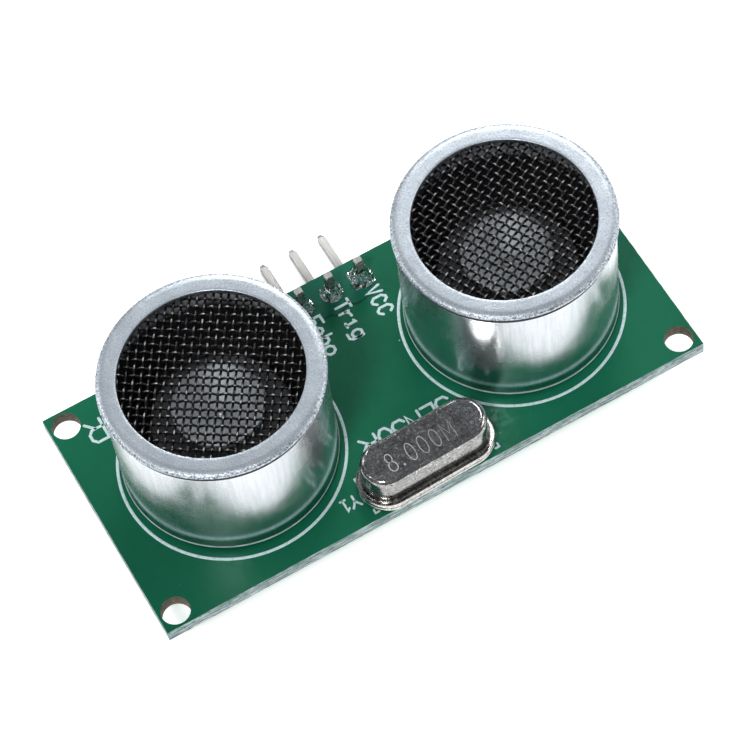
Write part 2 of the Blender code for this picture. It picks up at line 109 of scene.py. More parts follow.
class Finish:
    """A material in the making: one Principled shader and the procedural nodes that feed it."""

    def __init__(self, name, colour, roughness, metallic=0.0, **constants):
        self.material = bpy.data.materials.new(name)
        self.material.use_nodes = True
        self.tree = self.material.node_tree
        self.shader = self.tree.nodes["Principled BSDF"]
        self.shader.inputs["Base Color"].default_value = (*colour, 1.0)
        self.shader.inputs["Roughness"].default_value = roughness
        self.shader.inputs["Metallic"].default_value = metallic
        for socket, value in constants.items():
            self.shader.inputs[socket.replace("_", " ")].default_value = value
        place = self.tree.nodes.new("ShaderNodeTexCoord").outputs["Object"]
        self.place = self.maths("MULTIPLY", place, (1 / MM, 1 / MM, 1 / MM), vector=True)

    def feed(self, socket, value):
        if isinstance(value, bpy.types.NodeSocket):
            self.tree.links.new(value, socket)
        else:
            socket.default_value = value

    def maths(self, operation, a, b=0.0, vector=False):
        made = self.tree.nodes.new("ShaderNodeVectorMath" if vector else "ShaderNodeMath")
        made.operation = operation
        self.feed(made.inputs[0], a)
        self.feed(made.inputs[1], b)
        return made.outputs[0]

    def noise(self, per_mm, detail=2.0, stretch=(1.0, 1.0, 1.0), rough=0.5):
        """Cloudy value from 0 to 1 with about per_mm features in a millimetre."""
        made = self.tree.nodes.new("ShaderNodeTexNoise")
        self.feed(made.inputs["Vector"], self.maths("MULTIPLY", self.place, stretch, vector=True))
        made.inputs["Scale"].default_value = per_mm
        made.inputs["Detail"].default_value = detail
        made.inputs["Roughness"].default_value = rough
        return made.outputs["Fac"]

    def cells(self, per_mm):
        """Distance to the nearest of scattered points."""
        made = self.tree.nodes.new("ShaderNodeTexVoronoi")
        self.feed(made.inputs["Vector"], self.place)
        made.inputs["Scale"].default_value = per_mm
        return made.outputs["Distance"]

    def band(self, value, low, high, start=0.0, end=1.0):
        """Value mapped from low..high to start..end, and held at the ends."""
        made = self.tree.nodes.new("ShaderNodeMapRange")
        self.feed(made.inputs["Value"], value)
        for socket, number in zip(("From Min", "From Max", "To Min", "To Max"), (low, high, start, end)):
            made.inputs[socket].default_value = number
        return made.outputs["Result"]

    def axis(self, name):
        made = self.tree.nodes.new("ShaderNodeSeparateXYZ")
        self.feed(made.inputs[0], self.place)
        return made.outputs[name]

    def blend(self, share, a, b):
        """Colour a where share is 0, b where it is 1."""
        made = self.tree.nodes.new("ShaderNodeMix")
        made.data_type = "RGBA"
        self.feed(made.inputs[0], share)
        for socket, value in ((made.inputs[6], a), (made.inputs[7], b)):
            self.feed(socket, value if isinstance(value, bpy.types.NodeSocket) else (*value, 1.0))
        return made.outputs[2]

    def colour(self, value):
        self.feed(self.shader.inputs["Base Color"], value)

    def roughness(self, value):
        self.feed(self.shader.inputs["Roughness"], value)

    def relief(self, *layers):
        """Bumps laid over each other: (height from 0 to 1, depth in millimetres)."""
        normal = None
        for height, depth in layers:
            made = self.tree.nodes.new("ShaderNodeBump")
            made.inputs["Distance"].default_value = depth * MM
            self.feed(made.inputs["Height"], height)
            if normal:
                self.feed(made.inputs["Normal"], normal)
            normal = made.outputs["Normal"]
        self.feed(self.shader.inputs["Normal"], normal)


def solder_mask(name, dark, light):
    """Glossy green lacquer over copper, with a flux stain round the header on the front."""
    made = Finish(name, dark, 0.34, Specular_IOR_Level=0.18)
    cloud = made.band(made.noise(0.07, 1.0), 0.38, 0.62)
    green = made.blend(cloud, dark, light)
    mottle = made.band(made.noise(1.1, 3.0), 0.3, 0.7)
    green = made.blend(made.maths("MULTIPLY", mottle, 0.06), green, (0.02, 0.2, 0.11))
    wobble = made.maths("MULTIPLY", made.noise(0.9, 3.0), 1.6)
    front = made.maths("SUBTRACT", made.maths("ADD", made.axis("Y"), wobble), 7.35)
    beside = made.maths("ABSOLUTE", made.axis("X"))
    inside = made.band(beside, 3.4, 5.2, 1.0, 0.0)
    stain = made.maths("MULTIPLY", made.band(front, 0.0, 0.12), inside)
    rim = made.maths("MULTIPLY", made.band(made.maths("ABSOLUTE", front), 0.02, 0.16, 1.0, 0.0), inside)
    green = made.blend(made.maths("MULTIPLY", stain, 0.35), green, (0.015, 0.13, 0.1))
    green = made.blend(made.maths("MULTIPLY", rim, 0.75), green, (0.001, 0.03, 0.012))
    dust = made.band(made.cells(0.55), 0.045, 0.03)
    made.colour(made.blend(made.maths("MULTIPLY", dust, 0.7), green, (0.5, 0.62, 0.55)))
    made.roughness(made.band(made.noise(2.5, 4.0), 0.3, 0.7, 0.28, 0.42))
    made.relief((made.noise(0.5, 2.0), 0.02), (made.noise(6.0, 3.0), 0.003), (stain, 0.02))
    return made.material


def glass_epoxy():
    """Sawn edge of the board: pale, with torn glass fibres that run along the cut."""
    made = Finish("glass_epoxy", (0.5, 0.57, 0.56), 0.62)
    layers = made.noise(1.6, 5.0, (0.35, 0.35, 3.2), 0.65)
    torn = made.noise(3.4, 4.0, (0.5, 0.5, 2.2), 0.7)
    pale = made.blend(made.band(layers, 0.42, 0.6), (0.15, 0.25, 0.245), (0.58, 0.67, 0.67))
    made.colour(made.blend(made.band(torn, 0.53, 0.62), pale, (0.03, 0.08, 0.075)))
    made.roughness(made.band(layers, 0.3, 0.7, 0.5, 0.75))
    made.relief((torn, 0.09), (layers, 0.05))
    return made.material


def drilled_wall():
    made = Finish("drilled_wall", (0.09, 0.06, 0.03), 0.7)
    rings = made.noise(3.0, 4.0, (1.0, 1.0, 3.0))
    made.colour(made.blend(made.band(rings, 0.35, 0.65), (0.03, 0.022, 0.012), (0.2, 0.15, 0.09)))
    made.relief((rings, 0.05))
    return made.material


def printed_ink():
    made = Finish("printed_ink", (0.66, 0.8, 0.8), 0.55)
    worn = made.noise(4.5, 5.0, rough=0.65)
    made.colour(made.blend(made.band(worn, 0.3, 0.5), (0.36, 0.58, 0.55), (0.7, 0.84, 0.86)))
    made.roughness(made.band(worn, 0.3, 0.7, 0.45, 0.7))
    made.relief((worn, 0.012))
    return made.material


def blasted_aluminium():
    """Rolled rim: sandblasted, with painted glints on the grain tops of its shoulder and painted shade in the
    grain hollows.
    """
    made = Finish("blasted_aluminium", (0.88, 0.92, 0.96), 0.5, 1.0)
    grain = made.noise(6.5, 3.0, rough=0.65)
    patch = made.noise(0.5, 3.0)
    shoulder = made.band(made.axis("Z"), 11.69, 11.56, 0.3, 1.0)
    tone = made.blend(made.band(patch, 0.35, 0.65), (0.54, 0.6, 0.66), (0.64, 0.7, 0.76))
    # painted glints: white grains on the shoulder stand in for sparkling light
    tone = made.blend(made.maths("MULTIPLY", made.band(grain, 0.55, 0.64), shoulder), tone, (1.0, 1.0, 1.0))
    # painted shade: dark colour in the grain hollows of the shoulder
    painted_pit_shade = made.maths("MULTIPLY", made.band(grain, 0.48, 0.4), shoulder)
    made.colour(made.blend(painted_pit_shade, tone, (0.16, 0.19, 0.23)))
    made.roughness(made.band(grain, 0.3, 0.7, 0.52, 0.3))
    made.relief((made.maths("MULTIPLY", grain, shoulder), 0.05), (made.noise(1.4, 3.0), 0.015))
    return made.material


def drawn_aluminium():
    """Wall of the can: drawn smooth, with faint upright streaks and small dents, and a painted green
    reflection of the board towards its foot.
    """
    made = Finish("drawn_aluminium", (0.7, 0.72, 0.74), 0.25, 1.0)
    streaks = made.noise(3.0, 4.0, (1.0, 1.0, 0.08), 0.6)
    patch = made.noise(0.45, 3.0)
    tone = made.blend(made.band(streaks, 0.35, 0.65), (0.66, 0.69, 0.72), (0.78, 0.81, 0.84))
    speck = made.noise(7.0, 2.0)
    tone = made.blend(made.maths("MULTIPLY", made.band(speck, 0.62, 0.7), 0.5), tone, (0.95, 0.97, 1.0))
    height = made.axis("Z")
    # painted reflection: the wall turns dark green towards the foot, where it would mirror the board
    made.colour(made.blend(made.band(height, 2.7, 1.4, 0.0, 0.7), tone, (0.1, 0.34, 0.26)))
    lift = made.band(height, 1.2, 5.5, 0.0, 0.12)
    made.roughness(made.maths("ADD", lift, made.band(patch, 0.35, 0.65, 0.11, 0.17)))
    pits = made.band(made.cells(1.1), 0.1, 0.0)
    made.relief((streaks, 0.001), (made.noise(0.5, 1.0), 0.003), (pits, 0.002),
                (made.noise(8.0, 3.0), 0.0018))
    return made.material


def inner_wall_painted_light_and_shade():
    """Inside of the can: painted light near the mouth, painted shade further down."""
    made = Finish("inner_wall_painted_light_and_shade", (0.12, 0.12, 0.13), 0.45, 0.4)
    # painted shade: dark tone for the inner wall deep in the can
    painted_shade_tone = made.blend(made.noise(1.2, 3.0), (0.02, 0.02, 0.022), (0.09, 0.09, 0.095))
    ragged = made.maths("ADD", made.axis("Z"), made.noise(0.8, 3.0))
    # painted light: a bright band near the mouth over the painted shade below
    made.colour(made.blend(made.band(ragged, 8.7, 9.3), painted_shade_tone, (0.9, 0.92, 0.95)))
    made.relief((made.noise(4.0, 3.0), 0.02))
    return made.material


def screen_wire():
    """Blackened steel wire, with painted glints on the tops of its waves."""
    made = Finish("screen_wire", (0.006, 0.006, 0.007), 0.14, 0.0, Specular_IOR_Level=0.5)
    crest = made.band(made.axis("Z"), SCREEN_LEVEL / MM + 0.165, SCREEN_LEVEL / MM + 0.195)
    # painted glints: pale spots on the wire crests where light would catch
    painted_glint = made.maths("MULTIPLY", crest, made.band(made.noise(1.7, 3.0), 0.4, 0.6))
    made.colour(made.blend(painted_glint, (0.004, 0.004, 0.005), (0.6, 0.58, 0.55)))
    made.roughness(made.band(made.noise(5.0, 3.0), 0.3, 0.7, 0.05, 0.12))
    made.relief((made.noise(14.0, 2.0), 0.001))
    return made.material


def spun_metal(name, colour, bright, roughness):
    made = Finish(name, colour, roughness, 1.0)
    grain = made.noise(5.0, 4.0, rough=0.65)
    made.colour(made.blend(made.band(grain, 0.35, 0.65), colour, bright))
    made.roughness(made.band(grain, 0.3, 0.7, roughness * 0.75, roughness * 1.3))
    made.relief((grain, 0.012), (made.noise(0.9, 2.0), 0.04))
    return made.material


def gunmetal(name, dark, light, roughness):
    """Nickel-plated steel of the crystal's case: dark gloss with bright specks."""
    made = Finish(name, dark, roughness, 1.0)
    speckle = made.noise(5.0, 4.0, rough=0.75)
    patch = made.noise(0.8, 3.0)
    tone = made.blend(made.band(patch, 0.35, 0.65), dark, light)
    tone = made.blend(made.band(speckle, 0.45, 0.36), tone, [0.35 * part for part in dark])
    made.colour(made.blend(made.band(speckle, 0.55, 0.66), tone, (0.86, 0.85, 0.83)))
    made.roughness(made.band(speckle, 0.3, 0.7, roughness * 0.7, roughness * 1.5))
    made.relief((speckle, 0.004), (patch, 0.008))
    return made.material


def metal(name, colour, roughness, grain_size=4.0, depth=0.01, stretch=(1.0, 1.0, 1.0)):
    made = Finish(name, colour, roughness, 1.0)
    grain = made.noise(grain_size, 4.0, stretch, 0.6)
    darker = [0.72 * part for part in colour]
    made.colour(made.blend(made.band(grain, 0.35, 0.62), darker, colour))
    made.roughness(made.band(grain, 0.3, 0.7, roughness * 0.7, roughness * 1.3))
    made.relief((grain, depth))
    return made.material


def frozen_solder():
    """Shiny lumps of solder with dark flux in the hollows."""
    made = Finish("solder_metal", (0.85, 0.85, 0.85), 0.12, 1.0)
    lumps = made.noise(1.7, 3.0, rough=0.6)
    flux = made.noise(3.2, 3.0)
    made.colour(made.blend(made.band(flux, 0.5, 0.38), (0.88, 0.88, 0.88), (0.16, 0.15, 0.12)))
    made.roughness(made.band(flux, 0.35, 0.65, 0.22, 0.08))
    made.relief((lumps, 0.09), (flux, 0.02))
    return made.material


def dull(name, dark, light, roughness, grain_size=5.0, depth=0.01):
    """Plastic, ceramic, rubber or glass: mottled colour and a fine grain."""
    made = Finish(name, dark, roughness)
    grain = made.noise(grain_size, 4.0, rough=0.6)
    made.colour(made.blend(made.band(made.noise(1.3, 3.0), 0.35, 0.65), dark, light))
    made.roughness(made.band(grain, 0.3, 0.7, roughness * 0.8, min(1.0, roughness * 1.25)))
    made.relief((grain, depth))
    return made.material


def floor_paper():
    made = Finish("floor_paper", (0.9, 0.9, 0.9), 0.9)
    made.shader.inputs["Emission Color"].default_value = (1.0, 1.0, 1.0, 1.0)
    made.shader.inputs["Emission Strength"].default_value = 0.6
    made.relief((made.noise(0.8, 3.0), 0.01))
    return made.material


FINISHES = {
    "mask": solder_mask("solder_mask", (0.003, 0.112, 0.056), (0.006, 0.152, 0.078)),
    "track": solder_mask("masked_track", (0.014, 0.17, 0.095), (0.02, 0.215, 0.12)),
    "edge": glass_epoxy(),
    "wall": drilled_wall(),
    "ink": printed_ink(),
    "rim": blasted_aluminium(),
    "can": drawn_aluminium(),
    "inside": inner_wall_painted_light_and_shade(),
    "wire": screen_wire(),
    "horn": spun_metal("spun_horn", (0.6, 0.63, 0.67), (0.94, 0.97, 1.0), 0.6),
    "diaphragm": spun_metal("diaphragm_metal", (0.2, 0.2, 0.2), (0.32, 0.32, 0.32), 0.45),
    "crystal": gunmetal("crystal_case", (0.27, 0.265, 0.265), (0.4, 0.39, 0.38), 0.13),
    "flange": gunmetal("crystal_flange", (0.46, 0.445, 0.43), (0.68, 0.66, 0.63), 0.14),
    "engraved": metal("engraved_metal", (0.8, 0.79, 0.77), 0.55, 9.0, 0.01),
    "solder": frozen_solder(),
    "pin": metal("pin_plating", (0.55, 0.54, 0.52), 0.42, 4.0, 0.012, (1.0, 0.12, 1.0)),
    # painted highlight: a pale non-metal band at the can's foot stands in for its bright edge line
    "foot": dull("can_foot_painted_highlight", (0.5, 0.56, 0.57), (0.74, 0.8, 0.82), 0.45),
    # painted reflection: darker green-grey on the stub stands in for the board it mirrors; the tip keeps the
    # pin colour
    "stub": metal("stub_painted_board_reflection", (0.24, 0.27, 0.25), 0.28, 3.0, 0.02),
    # painted shade: a dark band in the crease under the rim
    "crease": metal("rim_crease_painted_shade", (0.08, 0.085, 0.09), 0.5),
    "tin": metal("tinned_wire", (0.72, 0.71, 0.69), 0.3),
    "lead": metal("copper_wire", (0.7, 0.35, 0.18), 0.35),
    "ceramic": dull("piezo_ceramic", (0.4, 0.34, 0.25), (0.52, 0.46, 0.36), 0.6),
    "silicone": dull("white_silicone", (0.72, 0.72, 0.68), (0.82, 0.82, 0.8), 0.55, 3.0),
    "base": dull("base_plastic", (0.012, 0.012, 0.013), (0.025, 0.025, 0.027), 0.5),
    "epoxy": dull("chip_epoxy", (0.014, 0.014, 0.015), (0.028, 0.028, 0.03), 0.52, 8.0, 0.015),
    "housing": dull("housing_plastic", (0.01, 0.01, 0.011), (0.02, 0.02, 0.021), 0.4, 6.0, 0.008),
    "glass": dull("seal_glass", (0.03, 0.08, 0.09), (0.05, 0.12, 0.13), 0.12, 4.0, 0.002),
    "quartz": dull("quartz_blank", (0.68, 0.7, 0.7), (0.8, 0.82, 0.82), 0.15, 4.0, 0.002),
    "resistor": dull("resistor_glaze", (0.012, 0.012, 0.014), (0.03, 0.03, 0.034), 0.3, 6.0, 0.004),
    "alumina": dull("resistor_body", (0.7, 0.7, 0.68), (0.82, 0.82, 0.8), 0.6, 6.0, 0.006),
    "capacitor": dull("capacitor_body", (0.3, 0.19, 0.1), (0.42, 0.28, 0.16), 0.45, 6.0, 0.006),
}


# ---------------------------------------------------------------- mesh tools

def show(name, mesh_data, finishes, replaced=(), sharp=35.0):
    """Turn a bmesh into a piece of the object."""
    bmesh.ops.recalc_face_normals(mesh_data, faces=mesh_data.faces)
    mesh = bpy.data.meshes.new(name)
    mesh_data.to_mesh(mesh)
    mesh_data.free()
    mesh.shade_smooth()
    mesh.set_sharp_from_angle(angle=math.radians(sharp))
    for finish in finishes:
        mesh.materials.append(FINISHES[finish])
    made = bpy.data.objects.new(name, mesh)
    bpy.context.scene.collection.objects.link(made)
    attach(made, "root")
    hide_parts(*replaced)
    return made


def circle(radius, steps, centre=(0.0, 0.0)):
    angles = [2 * math.pi * step / steps for step in range(steps)]
    return [(centre[0] + radius * math.cos(a), centre[1] + radius * math.sin(a)) for a in angles]


def arc(centre, radii, start, end, steps):
    """Points on a flat elliptical arc from one angle in degrees to another."""
    angles = [math.radians(start + (end - start) * step / steps) for step in range(steps + 1)]
    return [(centre[0] + radii[0] * math.cos(a), centre[1] + radii[1] * math.sin(a)) for a in angles]


def stadium(length, width, steps=20, straight=14):
    """Outline of a bar with half-round ends, with points along its straight sides too."""
    radius = width / 2
    reach = length / 2 - radius
    points = []
    for side in (1, -1):
        for step in range(steps + 1):
            angle = math.pi * (step / steps - 0.5)
            points.append((side * (reach + radius * math.cos(angle)), side * radius * math.sin(angle)))
        for step in range(1, straight):
            points.append((side * reach * (1 - 2 * step / straight), side * radius))
    return points


def add_rings(mesh_data, rings, close_loop=False, bands=None):
    """Join rings of equally many points with quads; bands gives a material number to each band."""
    rows = [[mesh_data.verts.new(point) for point in ring] for ring in rings]
    pairs = list(zip(rows, rows[1:]))
    if close_loop:
        pairs.append((rows[-1], rows[0]))
    count = len(rows[0])
    for number, (lower, upper) in enumerate(pairs):
        for i in range(count):
            j = (i + 1) % count
            face = mesh_data.faces.new((lower[i], lower[j], upper[j], upper[i]))
            face.material_index = bands[number] if bands else 0
    if not close_loop:
        mesh_data.faces.new(rows[0][::-1])
        mesh_data.faces.new(rows[-1])
    return rows


def turned(profile, steps, place, closed=True, bands=None, waver=0.0):
    """Turn a profile of (radius, z) about an upright axis; waver makes it slightly out of round."""
    mesh_data = bmesh.new()
    rings = []
    for radius, z in profile:
        ring = []
        for x, y in circle(1.0, steps):
            drift = noise.noise(Vector((x * 1.7, y * 1.7, z * 60.0 + place.x * 90.0))) if waver else 0.0
            reach = radius + waver * drift
            ring.append((place.x + reach * x, place.y + reach * y, z))
        rings.append(ring)
    add_rings(mesh_data, rings, close_loop=closed, bands=bands)
    return mesh_data


def block(size, centre, low, bevel):
    """Rectangular block with rounded edges, standing on low."""
    mesh_data = bmesh.new()
    x, y = size[0] / 2, size[1] / 2
    corners = [(-x, -y), (x, -y), (x, y), (-x, y)]
    add_rings(mesh_data, [[(a, b, z) for a, b in corners] for z in (low, low + size[2])])
    bmesh.ops.bevel(mesh_data, geom=mesh_data.edges[:], offset=bevel, segments=3, profile=0.5,
                    affect="EDGES")
    mesh_data.transform(Matrix.Translation(flat(centre)))
    return mesh_data


def merge(parts, material_numbers=None):
    """Several bmeshes in one; each may get its own material number."""
    whole = bmesh.new()
    for number, part in enumerate(parts):
        if material_numbers:
            for face in part.faces:
                face.material_index = material_numbers[number]
        bmesh.ops.recalc_face_normals(part, faces=part.faces)
        scrap = bpy.data.meshes.new("scrap")
        part.to_mesh(scrap)
        part.free()
        whole.from_mesh(scrap)
        bpy.data.meshes.remove(scrap)
    return whole


def plate_with_holes(outline, holes, low, high):
    """Flat plate: material 0 on its faces, 1 on the outer side and 2 on the walls of the holes."""
    mesh_data = bmesh.new()
    loops = []
    for points in [outline] + holes:
        row = [mesh_data.verts.new((x, y, low)) for x, y in points]
        loops.append(row)
        for i in range(len(row)):
            mesh_data.edges.new((row[i - 1], row[i]))
    bmesh.ops.triangle_fill(mesh_data, use_beauty=True, use_dissolve=False, edges=mesh_data.edges[:])
    bottom = mesh_data.faces[:]
    upper = {}
    for row in loops:
        for vertex in row:
            upper[vertex] = mesh_data.verts.new((vertex.co.x, vertex.co.y, high))
    for face in bottom:
        mesh_data.faces.new([upper[vertex] for vertex in reversed(face.verts[:])])
    for number, row in enumerate(loops):
        for i in range(len(row)):
            side = mesh_data.faces.new((row[i - 1], row[i], upper[row[i]], upper[row[i - 1]]))
            side.material_index = 1 if number == 0 else 2
    return mesh_data


def swept(path, ring_at, closed=False):
    """Tube along a path: ring_at(i, point, along) gives the points of each ring."""
    mesh_data = bmesh.new()
    rings = []
    count = len(path)
    for i, point in enumerate(path):
        before = path[i - 1] if i or closed else None
        after = path[(i + 1) % count] if i + 1 < count or closed else None
        along = ((after or point) - (before or point)).normalized()
        rings.append(ring_at(i, point, along))
    add_rings(mesh_data, rings, close_loop=closed)
    return mesh_data


# ---------------------------------------------------------------- strokes and lettering

STROKE_END_STEPS = 4


def stroke(points, width, base, height, closed=False):
    """A raised line with round ends along flat points."""
    path = [Vector((x, y, base)) for x, y in points]
    radius = width / 2
    scales = [1.0] * len(path)
    if not closed:
        first, last = (path[1] - path[0]).normalized(), (path[-1] - path[-2]).normalized()
        shares = [(step + 0.4) / (STROKE_END_STEPS + 0.4) for step in range(STROKE_END_STEPS)]
        turns = [math.radians(90.0 * share) for share in shares]
        head = [(path[0] - first * radius * math.cos(a), math.sin(a)) for a in turns]
        tail = [(path[-1] + last * radius * math.cos(a), math.sin(a)) for a in reversed(turns)]
        scales = [s for _, s in head] + scales + [s for _, s in tail]
        path = [p for p, _ in head] + path + [p for p, _ in tail]

    count = len(path)

    def ring_at(i, point, along):
        before = path[i - 1] if i or closed else None
        after = path[(i + 1) % count] if i + 1 < count or closed else None
        incoming = (point - before).normalized() if before else along
        outgoing = (after - point).normalized() if after else along
        bisector = (incoming + outgoing).normalized()
        stretch = 1.0 / max(0.6, bisector.dot(incoming))
        across = UP.cross(bisector) * radius * scales[i] * stretch
        lift = UP * height
        return [point + across, point + across * 0.75 + lift, point - across * 0.75 + lift, point - across]

    return swept(path, ring_at, closed)


def chamfered(low_x, high_x, low_y, high_y, cut):
    """Closed rounded-corner loop of a stroke letter."""
    return [(low_x + cut, low_y), (high_x - cut, low_y), (high_x, low_y + cut), (high_x, high_y - cut),
            (high_x - cut, high_y), (low_x + cut, high_y), (low_x, high_y - cut), (low_x, low_y + cut)]


def bowl(width, top, cut):
    """Open C shape, from its upper to its lower end."""
    return [(width, top - cut), (width - cut, top), (cut, top), (0.0, top - cut), (0.0, cut), (cut, 0.0),
            (width - cut, 0.0), (width, cut)]


def shoulder(width, top, cut):
    """Arch of n and h."""
    return [(0.0, top - cut), (cut, top), (width - cut, top), (width, top - cut), (width, 0.0)]


# Stroke letters in a cell one wide and one high: open strokes, then closed ones
LETTERS = {
    "V": ([[(0.05, 1.0), (0.36, 0.0), (0.67, 1.0)]], []),
    "C": ([bowl(0.64, 1.0, 0.22)], []),
    "T": ([[(0.0, 1.0), (0.8, 1.0)], [(0.4, 1.0), (0.4, 0.0)]], []),
    "r": ([[(0.1, 0.66), (0.1, 0.0)], [(0.1, 0.4), (0.32, 0.62), (0.65, 0.66)]], []),
    "i": ([[(0.1, 0.6), (0.3, 0.66), (0.3, 0.0)], [(0.1, 0.0), (0.5, 0.0)]], []),
    "g": ([[(0.75, 0.66), (0.75, -0.1), (0.55, -0.3), (0.1, -0.3)]],
          [chamfered(0.05, 0.75, 0.0, 0.66, 0.2)]),
    "E": ([[(0.75, 1.0), (0.0, 1.0), (0.0, 0.0), (0.75, 0.0)], [(0.0, 0.5), (0.5, 0.5)]], []),
    "c": ([bowl(0.65, 0.66, 0.2)], []),
    "h": ([[(0.05, 1.0), (0.05, 0.0)], [(x + 0.05, y) for x, y in shoulder(0.65, 0.66, 0.2)]], []),
    "o": ([], [chamfered(0.0, 0.8, 0.0, 0.66, 0.22)]),
    "G": ([bowl(0.8, 1.0, 0.24) + [(0.8, 0.45), (0.45, 0.45)]], []),
    "n": ([[(0.05, 0.66), (0.05, 0.0)], [(x + 0.05, y) for x, y in shoulder(0.65, 0.66, 0.2)]], []),
    "d": ([[(0.75, 1.0), (0.75, 0.0)]], [chamfered(0.05, 0.75, 0.0, 0.66, 0.2)]),
    "R": ([[(0.0, 0.0), (0.0, 1.0), (0.75, 1.0), (1.0, 0.82), (1.0, 0.55), (0.75, 0.37), (0.0, 0.37)],
           [(0.5, 0.37), (1.0, 0.0)]], []),
    "Y": ([[(0.0, 1.0), (0.4, 0.5), (0.8, 1.0)], [(0.4, 0.5), (0.4, 0.0)]], []),
    "1": ([[(0.1, 0.8), (0.32, 1.0), (0.32, 0.0)], [(0.1, 0.0), (0.54, 0.0)]], []),
    "S": ([[(0.8, 0.84), (0.62, 1.0), (0.18, 1.0), (0.0, 0.84), (0.0, 0.66), (0.18, 0.54), (0.62, 0.46),
            (0.8, 0.34), (0.8, 0.16), (0.62, 0.0), (0.18, 0.0), (0.0, 0.16)]], []),
    "N": ([[(0.0, 0.0), (0.0, 1.0), (0.8, 0.0), (0.8, 1.0)]], []),
    "O": ([], [chamfered(0.0, 0.8, 0.0, 1.0, 0.24)]),
    "U": ([[(0.0, 1.0), (0.0, 0.2), (0.2, 0.0), (0.6, 0.0), (0.8, 0.2), (0.8, 1.0)]], []),
    "0": ([], [arc((0.3, 0.5), (0.3, 0.5), 0, 345, 23)]),
    "8": ([], [arc((0.3, 0.76), (0.24, 0.24), 0, 345, 23), arc((0.3, 0.26), (0.3, 0.27), 0, 345, 23)]),
    "M": ([[(0.0, 0.0), (0.0, 1.0), (0.37, 0.3), (0.74, 1.0), (0.74, 0.0)]], []),
    ".": ([[(0.02, 0.0), (0.02, 0.1)], [(0.1, 0.0), (0.1, 0.1)]], []),
}


NARROW_ADVANCE = 0.62


def lettering(text, start, direction, advance, height, width, base, thickness):
    """Stroke bodies of a line of text that runs along direction in degrees from start, on its baseline."""
    turn = math.radians(direction)
    along = Vector((math.cos(turn), math.sin(turn)))
    upward = Vector((-along.y, along.x))
    here = Vector(start)
    bodies = []
    for letter in text:
        open_strokes, closed_strokes = LETTERS[letter]
        for points, closed in [(p, False) for p in open_strokes] + [(p, True) for p in closed_strokes]:
            placed = [here + along * x * advance + upward * y * height for x, y in points]
            bodies.append(stroke([p.xy for p in placed], width, base, thickness, closed))
        here = here + along * advance * (NARROW_ADVANCE if letter == "." else 1.0)
    return bodies


# ---------------------------------------------------------------- board

EDGE_STEP = 0.25 * MM
EDGE_FRAY = 0.02 * MM
HOLE_STEPS = 48


def frayed_outline(low, high):
    """The board's rectangle in short steps, each slightly off the straight line."""
    corners = [(low.x, low.y), (high.x, low.y), (high.x, high.y), (low.x, high.y)]
    points = []
    for i, corner in enumerate(corners):
        start, end = Vector(corner), Vector(corners[(i + 1) % 4])
        steps = int((end - start).length / EDGE_STEP)
        inward = Vector((start.y - end.y, end.x - start.x)).normalized()
        for step in range(steps):
            fray = EDGE_FRAY * random.random() if step else 0.0
            points.append(start.lerp(end, step / steps) + inward * fray)
    return [tuple(point) for point in points]


def build_board():
    corners = [Vector((sx * (BOARD_HIGH.x - MOUNT_HOLE_INSET.x), sy * (BOARD_HIGH.y - MOUNT_HOLE_INSET.y)))
               for sx in (-1, 1) for sy in (-1, 1)]
    holes = [circle(MOUNT_HOLE_RADIUS, HOLE_STEPS, corner) for corner in corners]
    holes += [circle(PIN_HOLE_RADIUS, HOLE_STEPS, place) for place in PIN_ROW]
    holes += [circle(TERMINAL_HOLE_RADIUS, HOLE_STEPS, place) for place in TERMINALS]
    holes += [circle(CRYSTAL_HOLE_RADIUS, HOLE_STEPS, place) for place in CRYSTAL_LEADS]
    outline = frayed_outline(BOARD_LOW, BOARD_HIGH)
    mesh_data = plate_with_holes(outline, holes, BOARD_BACK, 0.0)
    show("board_laminate", mesh_data, ["mask", "edge", "wall"], ["circuit_board"])


# Printed lettering on the front: text, start of its baseline, direction, advance, height, line width (mm)
PRINTS = [
    ("VCC", (3.35, 7.15), -90, 0.95, 1.15, 0.22),
    ("Trig", (0.75, 7.3), -90, 0.9, 1.15, 0.22),
    ("Echo", (-1.7, 7.1), -90, 0.9, 1.15, 0.22),
    ("Gnd", (-4.25, 7.1), -90, 0.9, 1.15, 0.22),
    ("R", (-18.75, 8.1), 180, 1.2, 1.8, 0.22),
    ("T", (19.95, 8.1), 180, 1.2, 1.8, 0.22),
    ("Y1", (-5.55, -7.45), 180, 0.85, 0.95, 0.18),
    ("SENSOR", (4.05, -3.8), 180, 1.22, 1.7, 0.22),
]
RING_CENTRES = {"receiver": Vector((-11.75, 0.13)) * MM, "transmitter": Vector((12.05, 0.15)) * MM}
RING_RADIUS = 8.45 * MM
RING_LINE = 0.23 * MM
RING_STEPS = 160
CRYSTAL_MARK = (-5.05, 5.3, -9.55, -6.35)
CRYSTAL_MARK_ARM = 0.3


def build_print():
    lines = []
    for text, start, direction, advance, height, width in PRINTS:
        place = Vector(start) * MM
        lines += lettering(text, place, direction, advance * MM, height * MM, width * MM, 0.0, INK)
    for centre in RING_CENTRES.values():
        lines.append(stroke(circle(RING_RADIUS, RING_STEPS, centre), RING_LINE, 0.0, INK, closed=True))
    left, right, low, high = CRYSTAL_MARK
    for x, y in ((left, low), (left, high), (right, low), (right, high)):
        inward_x = CRYSTAL_MARK_ARM * (1 if x == left else -1)
        inward_y = CRYSTAL_MARK_ARM * (1 if y == low else -1)
        corner = [(x + inward_x, y), (x, y), (x, y + inward_y)]
        lines.append(stroke([(a * MM, b * MM) for a, b in corner], 0.16 * MM, 0.0, INK))
    show("board_print", merge(lines), ["ink"])


# ---------------------------------------------------------------- transducers

CAN_STEPS = 256
TURNED_STEPS = 128
CAN_OPENING = 6.75 * MM
CAN_WALL = 0.4 * MM
CAN_RIM_OVERHANG = 0.2 * MM
RIM_LIP = 0.07 * MM
RIM_THICKNESS = 0.5 * MM
RIM_SHOULDER_START = 7.62 * MM
RIM_SHOULDER_HEIGHT = 0.3 * MM
WALL_ROWS = 26


